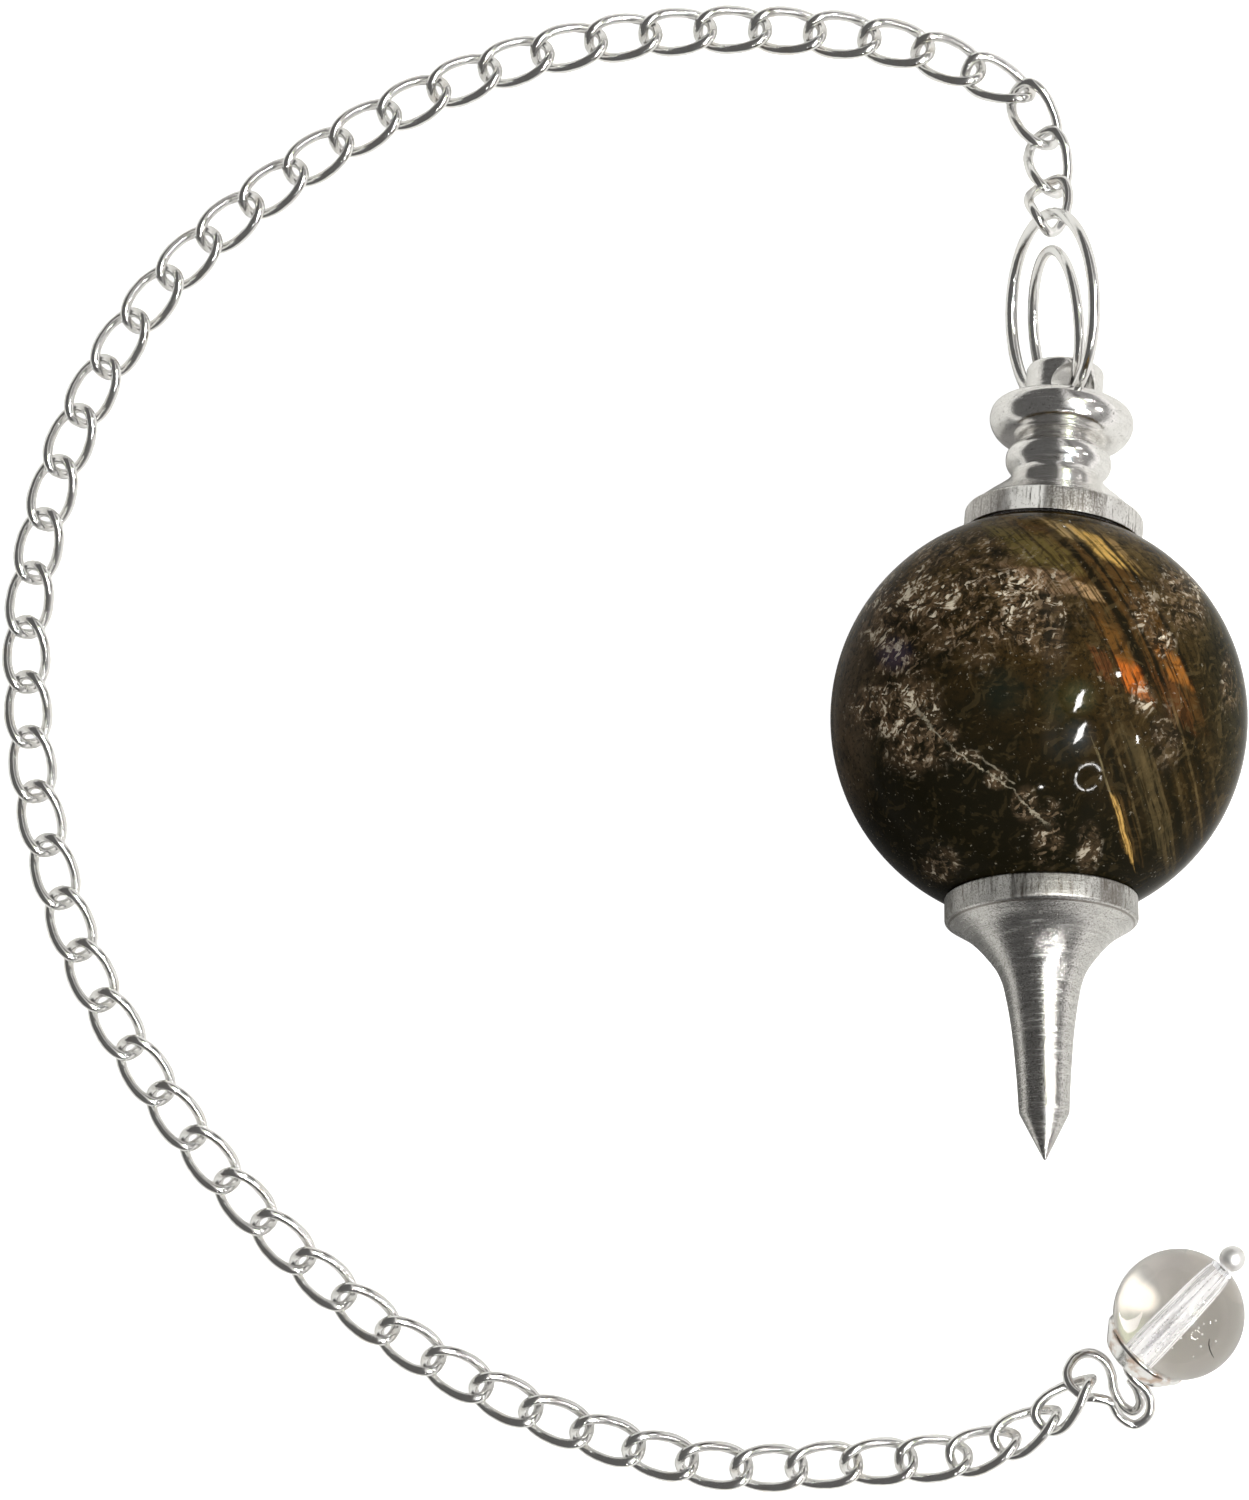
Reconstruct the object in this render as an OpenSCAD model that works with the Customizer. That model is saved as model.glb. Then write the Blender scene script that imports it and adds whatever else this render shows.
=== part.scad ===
// Dowsing pendulum lying on a table, in millimetres.
// The table is z = 0, and the spike points towards -Y with its tip lifted.

/* [Ball] */
// diameter of the stone ball
ball_diameter = 20; // [14:0.5:26]
// place of the ball's centre to the right of the middle
ball_x = 19.9; // [10:0.1:30]
// place of the ball's centre above the middle
ball_y = 1.5; // [-10:0.1:10]
// angle by which the spike is lifted off the table
spike_lift = 18; // [8:1:28]
// gap between the stone and the metal glued to it
glue_gap = 0.1; // [0.05:0.05:0.3]

/* [Point] */
// diameter of the spike's flange
point_flange = 9.2; // [6:0.1:11]
// length from the flange's flat face to the tip
point_length = 12.75; // [8:0.05:20]
// height of the flange's flat face above the ball's equator, as a share of the ball's radius
point_seat = 0.9; // [0.86:0.005:0.96]
// angle by which the spike is glued off the ball's line, towards the left
point_lean = 0.7; // [0:0.1:4]

/* [Cap] */
// diameter of the cap's flange disc
cap_flange = 8.7; // [6:0.1:11]
// length from the flange's underside to the end of the knob
cap_length = 8.9; // [6:0.1:12]
// height of the flange's rim above the ball's equator, as a share of the ball's radius
cap_seat = 0.93; // [0.9:0.005:1]
// angle by which the cap is glued off the spike's line
cap_lean = 6; // [0:1:10]
// diameter of the knob
knob_diameter = 3.8; // [3.2:0.1:4.8]
// diameter of the hole across the knob
hole_diameter = 2.2; // [1.8:0.1:2.4]
// angle of the hole round the knob, towards the right
hole_turn = 10; // [-10:1:30]

/* [Rings] */
// wire of the large ring
large_wire = 0.6; // [0.4:0.05:0.8]
// outside diameter of the large ring
large_diameter = 10.1; // [8:0.1:13]
// wire of the small ring
small_wire = 0.55; // [0.4:0.05:0.7]
// outside diameter of the small ring
small_diameter = 8; // [6:0.1:9]

/* [Chain] */
// pitch of the links
link_pitch = 2.74; // [2.4:0.02:3.4]
// wire of the links
link_wire = 0.52; // [0.3:0.02:0.6]
// outside width of a link
link_width = 2.45; // [2:0.05:3.2]
// turn of a link's end out of its flat
link_twist = 45; // [35:1:50]
// play between two links that meet
link_play = 0.2; // [0.12:0.02:0.3]
// spacing of the last links, which lie slack, as a share of the pitch
slack_share = 0.88; // [0.8:0.02:1]

/* [End bead] */
// diameter of the clear bead
bead_diameter = 6.5; // [5:0.1:9]
// place of the bead's centre to the right of the middle
bead_x = 27.4; // [20:0.1:32]
// place of the bead's centre above the middle
bead_y = -27.9; // [-34:0.1:-20]
// diameter of the hole through the bead
bead_bore = 1.1; // [0.8:0.05:1.5]
// angle of the hole in plan, from the right
bead_turn = 49; // [20:1:80]
// angle by which the headed end of the hole is lifted
bead_lift = 17; // [0:1:30]
// diameter of the dished metal cup
cup_diameter = 4.7; // [3.5:0.1:5.5]
// thickness of the cup's metal
cup_wall = 0.22; // [0.15:0.01:0.35]
// wire of the headed pin
pin_wire = 0.5; // [0.35:0.05:0.7]
// diameter of the pin's head
pin_head = 1.3; // [1.1:0.05:1.8]
// diameter of the pin's eye
eye_diameter = 2.3; // [1.8:0.1:3]
// gap kept between the bead, the cup and the pin
bead_gap = 0.1; // [0.05:0.05:0.2]

/* [Hidden] */
// name of the piece to build, or all

silver = [0.86, 0.86, 0.87];
turned = [0.78, 0.78, 0.79];
stone = [0.13, 0.14, 0.11];
clear = [0.86, 0.85, 0.81];

ball_radius = ball_diameter / 2;
ball_centre = [ball_x, ball_y, ball_radius];
point_start = point_seat * ball_radius;
cap_start = cap_seat * ball_radius;

// Spike from the flange's flat face down: share of the length, share of the flange's radius.
point_form = [
    [0.000, 0.985],
    [0.005, 1.000],
    [0.084, 1.000],
    [0.096, 0.990],
    [0.102, 0.955],
    [0.118, 0.885],
    [0.141, 0.790],
    [0.172, 0.695],
    [0.206, 0.610],
    [0.245, 0.525],
    [0.282, 0.460],
    [0.328, 0.410],
    [0.382, 0.377],
    [0.461, 0.340],
    [0.544, 0.312],
    [0.627, 0.292],
    [0.706, 0.276],
    [0.804, 0.262],
    [0.828, 0.252],
    [0.985, 0.032],
    [0.996, 0.018],
    [1.000, 0.000]
];

// Cap from the flange's rim to the dished top of its lip: share of the length, share of the
// flange's radius.
cap_form = [
    [0.000, 0.984],
    [0.007, 1.000],
    [0.110, 1.000],
    [0.121, 0.989],
    [0.137, 0.943],
    [0.166, 0.874],
    [0.206, 0.782],
    [0.243, 0.690],
    [0.278, 0.609],
    [0.309, 0.552],
    [0.337, 0.520],
    [0.360, 0.506],
    [0.373, 0.529],
    [0.396, 0.568],
    [0.421, 0.591],
    [0.447, 0.595],
    [0.474, 0.586],
    [0.500, 0.556],
    [0.520, 0.506],
    [0.533, 0.448],
    [0.542, 0.428],
    [0.548, 0.455],
    [0.553, 0.540],
    [0.562, 0.621],
    [0.579, 0.690],
    [0.604, 0.747],
    [0.635, 0.786],
    [0.665, 0.807],
    [0.691, 0.811],
    [0.721, 0.800],
    [0.746, 0.770],
    [0.762, 0.726],
    [0.764, 0.690],
    [0.755, 0.632],
    [0.730, 0.540],
    [0.712, 0.471]
];
// Shares of the cap's length: the knob's foot, its chamfer and its hole.
knob_start = 0.706;
knob_edge = 0.025;
hole_place = 0.839;
// Length of the drill past the knob's sides.
drill_past = 0.15;

// Pieces glued to the ball: turns that carry +Z to the spike's and the cap's line.
point_turn = [90 - spike_lift, 0, -point_lean];
cap_turn = [-90 - spike_lift, 0, -cap_lean];
cap_line = [
    cos(spike_lift) * sin(cap_lean),
    cos(spike_lift) * cos(cap_lean),
    -sin(spike_lift)
];
hole_centre = ball_centre + (cap_start + hole_place * cap_length) * cap_line;

// Rings through the hole: turn in plan, lean, angle up to the ring's middle, and the wire's
// place in the hole along the ring's middle line and along its normal, as shares of the slack.
large_lie = [1.1, -20.4, -3.0, 0.63, -0.54];
small_lie = [4.7, -12.1, -12.1, 0.12, 0.17];

// Route of the chain over the table in plan, from the ring's side to the bead's side.
route = [
    [16.9, 34.1],
    [13.3, 35.4],
    [5.2, 36.0],
    [-2.9, 35.1],
    [-10.5, 32.4],
    [-17.4, 28.2],
    [-23.4, 22.8],
    [-27.6, 15.7],
    [-29.7, 7.8],
    [-29.8, 2.4],
    [-29.2, -3.2],
    [-26.8, -11.0],
    [-22.5, -18.1],
    [-17.0, -24.6],
    [-10.6, -29.8],
    [-3.2, -33.6],
    [4.7, -35.8],
    [12.9, -35.5],
    [16.6, -35.3]
];
// Way of the chain from the large ring to the route's start, and from the route's end to the
// pin's eye: shares of the way to the right, upwards in plan and in height.
ring_way = [
    [-0.10, 0.21, 0.42],
    [-0.05, 0.53, 0.74],
    [0.13, 0.77, 0.89],
    [0.42, 0.91, 0.97]
];
pin_way = [
    [0.36, 0.21, 0.15],
    [0.69, 0.51, 0.49]
];
// Roll of the first links off the ring and of the last links before the pin, in degrees.
ring_rolls = [0, 0, 0, 20];
pin_rolls = [-15, -30, -40, -50];
// Number of links before the pin that lie slack, and the height that the route's end gains
// because those links stand on their sides.
slack_links = 3;
slack_rise = 0.24;
// Angle of the first hook round the large ring, and the ease that both hooks have.
hook_angle = -6;
hook_ease = 0.1;
// Form of a link: how square its ends are, stations round it and sides of its wire.
link_square = 0.7;
link_stations = 14;
wire_sides = 6;

// Eye of the pin from the wire's way out of the bead: places as shares of the eye's diameter.
eye_form = [
    [-0.04, -0.10, -0.03],
    [0.12, -0.33, -0.06],
    [0.34, -0.53, -0.08],
    [0.46, -0.81, -0.12],
    [0.40, -1.13, -0.20],
    [0.12, -1.32, -0.29],
    [-0.20, -1.14, -0.25],
    [-0.41, -0.82, -0.12],
    [-0.70, -0.72, -0.07],
    [-0.94, -0.70, -0.10],
    [-1.12, -0.60, -0.18],
    [-1.28, -0.43, -0.27],
    [-1.32, -0.16, -0.38],
    [-1.10, 0.13, -0.52],
    [-0.77, 0.18, -0.63],
    [-0.48, 0.01, -0.70],
    [-0.33, -0.29, -0.75],
    [-0.27, -0.64, -0.73],
    [-0.09, -0.96, -0.70],
    [0.14, -1.08, -0.64],
    [0.28, -0.90, -0.55],
    [0.21, -0.59, -0.51],
    [0.04, -0.35, -0.49]
];
// Row of the eye that takes the last link.
eye_hook = 10;
pin_sides = 8;

function unit(v) = v / norm(v);
function normal_of(lie) = [cos(lie[1]) * cos(lie[0]), cos(lie[1]) * sin(lie[0]), sin(lie[1])];
function level_of(lie) = unit(cross([0, 0, 1], normal_of(lie)));
function rise_of(lie) = cross(normal_of(lie), level_of(lie));
function reach_of(lie) = cos(lie[2]) * level_of(lie) + sin(lie[2]) * rise_of(lie);
function ring_centre(lie, diameter, wire) =
    hole_centre
    + ((diameter - wire) / 2 - lie[3] * (hole_diameter - wire) / 2) * reach_of(lie)
    + lie[4] * (hole_diameter - wire) / 2 * normal_of(lie);

// Point of the large ring that takes the first link, at an angle up from the level.
ring_hook = ring_centre(large_lie, large_diameter, large_wire)
    + (large_diameter - large_wire) / 2
    * (cos(hook_angle) * level_of(large_lie) + sin(hook_angle) * rise_of(large_lie));

// A link's centre line: half its length, half its width and its height off the table.
link_reach = (link_pitch + link_wire + link_play) / 2;
link_spread = (link_width - link_wire) / 2;
link_height = link_wire / 2 + max([for (t = [0:2:90])
    link_spread * pow(sin(t), link_square) * sin(link_twist * pow(cos(t), link_square))]);

bead_radius = bead_diameter / 2;
bead_centre = [bead_x, bead_y, bead_radius];
bead_line = [
    cos(bead_lift) * cos(bead_turn),
    cos(bead_lift) * sin(bead_turn),
    sin(bead_lift)
];
cup_floor = bead_radius + bead_gap;
eye_start = bead_centre - (cup_floor + cup_wall + bead_gap) * bead_line;
eye_hook_place = eye_start + eye_diameter * eye_form[eye_hook];

// Smooth curve through the points of a list.
function curve_point(a, b, c, d, t) =
    (2 * b + (c - a) * t + (2 * a - 5 * b + 4 * c - d) * t * t
    + (3 * b - a - 3 * c + d) * t * t * t) / 2;
function curve(rows, steps) = let (
    last = len(rows) - 1,
    ends = concat([2 * rows[0] - rows[1]], rows, [2 * rows[last] - rows[last - 1]])
) [
    for (i = [0:last - 1])
        for (k = [0:steps - 1])
            curve_point(ends[i], ends[i + 1], ends[i + 2], ends[i + 3], k / steps),
    rows[last]
];
function lengths(walk) = [
    for (
        i = 0, s = 0;
        i < len(walk);
        i = i + 1,
        s = i < len(walk) ? s + norm(walk[i] - walk[i - 1]) : s
    ) s
];
function shares_between(a, b, rows) = [
    for (row = rows) [for (i = [0:2]) a[i] + (b[i] - a[i]) * row[i]]
];

// The chain's way in space. Its ends run past the wires that they hook by the ring's and pin's gaps.
route_first = [route[0][0], route[0][1], link_height];
route_last = [route[len(route) - 1][0], route[len(route) - 1][1], link_height + slack_rise];
ring_rows = shares_between(ring_hook, route_first, ring_way);
pin_rows = shares_between(route_last, eye_hook_place, pin_way);
ring_past = (large_wire + link_play) / 2 + hook_ease;
pin_past = (pin_wire + link_play) / 2 + hook_ease;
chain_rows = concat(
    [ring_hook - ring_past * unit(ring_rows[0] - ring_hook)],
    ring_rows,
    [for (i = [0:len(route) - 2]) [route[i][0], route[i][1], link_height]],
    [route_last],
    pin_rows,
    [eye_hook_place + pin_past * unit(eye_hook_place - pin_rows[len(pin_rows) - 1])]
);
chain_walk = [
    for (place = curve(chain_rows, 12)) [place[0], place[1], max(place[2], link_height)]
];
chain_lengths = lengths(chain_walk);
chain_length = chain_lengths[len(chain_lengths) - 1];
slack_lost = slack_links * (1 - slack_share);
link_count = round(chain_length / link_pitch + slack_lost);
laid_pitch = chain_length / (link_count - slack_lost);
chain_tables = [
    for (axis = [0:2]) [for (i = [0:len(chain_walk) - 1]) [chain_lengths[i], chain_walk[i][axis]]]
];
function chain_place(s) = [for (axis = [0:2]) lookup(s, chain_tables[axis])];
function joint_way(k) = laid_pitch
    * (k - max(0, k - (link_count - slack_links)) * (1 - slack_share));
function link_roll(k) = k < len(ring_rolls) ? ring_rolls[k]
    : k >= link_count - len(pin_rolls) ? pin_rolls[k - (link_count - len(pin_rolls))]
    : 0;

// Rings of points round a line of places, and the triangles that close them.
function sweep_points(path, sides, radii, outs, aheads) = [
    for (i = [0:len(path) - 1])
        let (
            ahead = unit(aheads[i]),
            out = unit(outs[i] - (outs[i] * ahead) * ahead),
            across = cross(ahead, out)
        )
        for (j = [0:sides - 1])
            path[i] + radii[i] * (cos(360 * j / sides) * out + sin(360 * j / sides) * across)
];
function wall_faces(rings, sides, count) = [
    for (i = [0:count - 1])
        for (j = [0:sides - 1])
            let (
                a = (i % rings) * sides,
                b = ((i + 1) % rings) * sides,
                k = (j + 1) % sides
            )
            for (face = [[a + j, b + j, a + k], [b + j, b + k, a + k]]) face
];
function carried(aheads, out, i = 0) = i >= len(aheads) ? []
    : let (ahead = unit(aheads[i]), next = unit(out - (out * ahead) * ahead))
    concat([next], carried(aheads, next, i + 1));

module ball() {
    color(stone)
        translate(ball_centre)
            sphere(r = ball_radius, $fn = 120);
}

module point() {
    color(turned)
        translate(ball_centre)
            rotate(point_turn)
                difference() {
                    rotate_extrude($fn = 96)
                        polygon([
                            [0, point_start],
                            for (row = point_form)
                                [row[1] * point_flange / 2, point_start + row[0] * point_length]
                        ]);
                    sphere(r = ball_radius + glue_gap, $fn = 120);
                }
}

module cap() {
    color(turned)
        translate(ball_centre)
            rotate(cap_turn)
                difference() {
                    rotate_extrude($fn = 96)
                        polygon([
                            [0, cap_start],
                            for (row = cap_form)
                                [row[1] * cap_flange / 2, cap_start + row[0] * cap_length],
                            [knob_diameter / 2, cap_start + knob_start * cap_length],
                            [knob_diameter / 2, cap_start + (1 - knob_edge) * cap_length],
                            [knob_diameter / 2 - knob_edge * cap_length, cap_start + cap_length],
                            [0, cap_start + cap_length]
                        ]);
                    sphere(r = ball_radius + glue_gap, $fn = 120);
                    translate([0, 0, cap_start + hole_place * cap_length])
                        rotate([90, 0, hole_turn])
                            cylinder(
                                d = hole_diameter,
                                h = knob_diameter + 2 * drill_past,
                                center = true,
                                $fn = 48
                            );
                }
}

module ring(lie, diameter, wire) {
    color(silver)
        translate(ring_centre(lie, diameter, wire))
            rotate([0, 90 - lie[1], lie[0]])
                rotate_extrude($fn = 96)
                    translate([(diameter - wire) / 2, 0])
                        circle(d = wire, $fn = 32);
}

module large_ring() {
    ring(large_lie, large_diameter, large_wire);
}

module small_ring() {
    ring(small_lie, small_diameter, small_wire);
}

function signed_power(v, p) = sign(v) * pow(abs(v), p);

link_path = [
    for (i = [0:link_stations - 1])
        let (
            t = 360 * (i + 0.5) / link_stations,
            x = link_reach * signed_power(cos(t), link_square),
            y = link_spread * signed_power(sin(t), link_square),
            turn = -link_twist * x / link_reach
        )
        [x, y * cos(turn), y * sin(turn)]
];

module link() {
    n = link_stations;
    polyhedron(
        points = sweep_points(
            link_path, wire_sides, [for (place = link_path) link_wire / 2], link_path,
            [for (i = [0:n - 1]) link_path[(i + 1) % n] - link_path[(i + n - 1) % n]]
        ),
        faces = wall_faces(n, wire_sides, n)
    );
}

module chain() {
    color(silver)
        for (k = [0:link_count - 1]) {
            from = chain_place(joint_way(k));
            to = chain_place(joint_way(k + 1));
            way = to - from;
            translate((from + to) / 2)
                rotate([link_roll(k), -asin(way[2] / norm(way)), atan2(way[1], way[0])])
                    link();
        }
}

module end_bead() {
    color(clear)
        translate(bead_centre)
            rotate([0, 90 - bead_lift, bead_turn])
                difference() {
                    sphere(r = bead_radius, $fn = 96);
                    cylinder(d = bead_bore, h = 2 * bead_diameter, center = true, $fn = 32);
                }
}

// Cup's section from its hole outwards and back: share of the rim's radius, share of the way up
// from the bead's foot to the rim, and shares of the metal's thickness inwards and downwards.
cup_rise = 0.31;
cup_form = [
    [0.62, 0.00, 0.0, 1.0],
    [0.72, 0.00, 0.0, 0.4],
    [1.00, 0.78, 0.0, 0.0],
    [1.00, 0.90, 0.0, 0.0],
    [1.00, 1.00, 0.6, 0.0],
    [1.00, 0.94, 1.4, 0.0],
    [0.62, 0.00, 0.0, 0.0]
];

module bead_cup() {
    hole = pin_wire / 2 + bead_gap;
    color(silver)
        translate(bead_centre)
            rotate([0, 90 - bead_lift, bead_turn])
                difference() {
                    rotate_extrude($fn = 64)
                        polygon([
                            [hole, -cup_floor - cup_wall],
                            for (row = cup_form) [
                                row[0] * cup_diameter / 2 - row[2] * cup_wall,
                                row[1] * cup_rise * bead_radius - row[3] * cup_wall - cup_floor
                            ],
                            [hole, -cup_floor]
                        ]);
                    sphere(r = bead_radius + bead_gap, $fn = 96);
                }
}

// Head and straight run of the pin: distance above the bead's middle and radius.
head_rise = bead_radius + bead_gap;
head_form = [
    [1.000, 0.10],
    [0.960, 0.36],
    [0.850, 0.68],
    [0.680, 0.91],
    [0.480, 1.00],
    [0.280, 0.91],
    [0.120, 0.68]
];

module bead_pin() {
    head = [for (row = head_form) bead_centre + (head_rise + row[0] * pin_head) * bead_line];
    run = [for (h = [head_rise, 0, -cup_floor - cup_wall]) bead_centre + h * bead_line];
    eye = curve(concat([eye_start], [for (row = eye_form) eye_start + eye_diameter * row]), 2);
    path = concat(head, run, eye);
    n = len(path);
    radii = concat(
        [for (row = head_form) row[1] * pin_head / 2],
        [for (place = concat(run, eye)) pin_wire / 2]
    );
    aheads = [for (i = [0:n - 1]) path[min(i + 1, n - 1)] - path[max(i - 1, 0)]];
    color(silver)
        polyhedron(
            points = sweep_points(path, pin_sides, radii, carried(aheads, [0, 0, 1]), aheads),
            faces = concat(
                wall_faces(n, pin_sides, n - 1),
                [[for (j = [0:pin_sides - 1]) j]],
                [[for (j = [0:pin_sides - 1]) n * pin_sides - 1 - j]]
            )
        );
}

ball();
point();
cap();
large_ring();
small_ring();
chain();
end_bead();
bead_cup();
bead_pin();
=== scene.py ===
"""A dowsing pendulum laid out on a white table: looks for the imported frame.

The ball, the turned metal, the rings, the chain and the bead are modelled afresh with finer forms
than the solids have, each in the place of its own node.
"""

import logging
import math
from dataclasses import dataclass
from enum import Enum
from typing import Iterable, Sequence

import bmesh
import bpy
from mathutils import Matrix, Vector


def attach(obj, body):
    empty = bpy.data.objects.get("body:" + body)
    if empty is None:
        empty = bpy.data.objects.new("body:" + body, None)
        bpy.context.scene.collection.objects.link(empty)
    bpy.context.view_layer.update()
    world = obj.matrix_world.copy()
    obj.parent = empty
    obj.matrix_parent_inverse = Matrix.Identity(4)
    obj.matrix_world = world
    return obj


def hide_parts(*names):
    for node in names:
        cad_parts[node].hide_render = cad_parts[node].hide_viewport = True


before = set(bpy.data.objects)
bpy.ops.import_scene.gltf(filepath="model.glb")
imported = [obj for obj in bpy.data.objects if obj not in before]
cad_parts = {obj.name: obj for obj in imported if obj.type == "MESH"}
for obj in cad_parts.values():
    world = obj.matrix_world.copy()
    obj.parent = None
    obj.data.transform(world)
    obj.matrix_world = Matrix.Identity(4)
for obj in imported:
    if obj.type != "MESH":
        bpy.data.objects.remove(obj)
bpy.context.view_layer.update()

MM = 0.001
log = logging.getLogger("pendulum")

Colour = tuple[float, float, float]
Row = tuple[float, float]
Corner = tuple[float, float, float]
Zone = tuple[float, float, float]
Paint = bpy.types.NodeSocket | Colour


class Slot(Enum):
    """The record's material slots."""

    STONE = "stone"
    TURNED_METAL = "turned_metal"
    PLATED_WIRE = "plated_wire"
    CLEAR_BEAD = "clear_bead"


class Maths(Enum):
    """Sums that a material may do with its numbers."""

    ADD = "ADD"
    TAKE = "SUBTRACT"
    TIMES = "MULTIPLY"
    OVER = "DIVIDE"
    LARGER = "MAXIMUM"
    SIZE = "ABSOLUTE"
    ROOT = "SQRT"
    ANGLE = "ARCTAN2"


class BeadPart(Enum):
    """Parts of the clear bead, in the order of their materials."""

    GLASS = 0
    WALL = 1
    BUBBLE = 2
    HAIR = 3


# Materials as sheets of sums


class Tone:
    """A number that varies over a surface."""

    def __init__(self, sheet: "Sheet", socket: bpy.types.NodeSocket) -> None:
        """Keeps the sheet and the socket that carries the number."""
        self.sheet = sheet
        self.socket = socket

    def __add__(self, other: "Tone | float") -> "Tone":
        """Sum of two numbers."""
        return self.sheet.maths(Maths.ADD, self, other)

    def __sub__(self, other: "Tone | float") -> "Tone":
        """Difference of two numbers."""
        return self.sheet.maths(Maths.TAKE, self, other)

    def __rsub__(self, other: float) -> "Tone":
        """Difference with a plain number first."""
        return self.sheet.maths(Maths.TAKE, other, self)

    def __mul__(self, other: "Tone | float") -> "Tone":
        """Product of two numbers."""
        return self.sheet.maths(Maths.TIMES, self, other)

    def __truediv__(self, other: "Tone | float") -> "Tone":
        """Quotient of two numbers."""
        return self.sheet.maths(Maths.OVER, self, other)

    def __abs__(self) -> "Tone":
        """Size of the number without its sign."""
        return self.sheet.maths(Maths.SIZE, self)

    def or_more(self, other: "Tone | float") -> "Tone":
        """Larger of two numbers."""
        return self.sheet.maths(Maths.LARGER, self, other)

    def rise(self, low: float, high: float, start: float = 0.0, end: float = 1.0) -> "Tone":
        """Soft step from start to end.

        Args:
            low: the number at which the step starts.
            high: the number at which it ends.
            start: the result below low.
            end: the result above high.

        Returns:
            The stepped number.
        """
        node = self.sheet.node("ShaderNodeMapRange", interpolation_type="SMOOTHSTEP")
        self.sheet.feed(node.inputs[0], self)
        for socket, value in zip(list(node.inputs)[1:5], (low, high, start, end)):
            socket.default_value = value
        return Tone(self.sheet, node.outputs[0])


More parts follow.
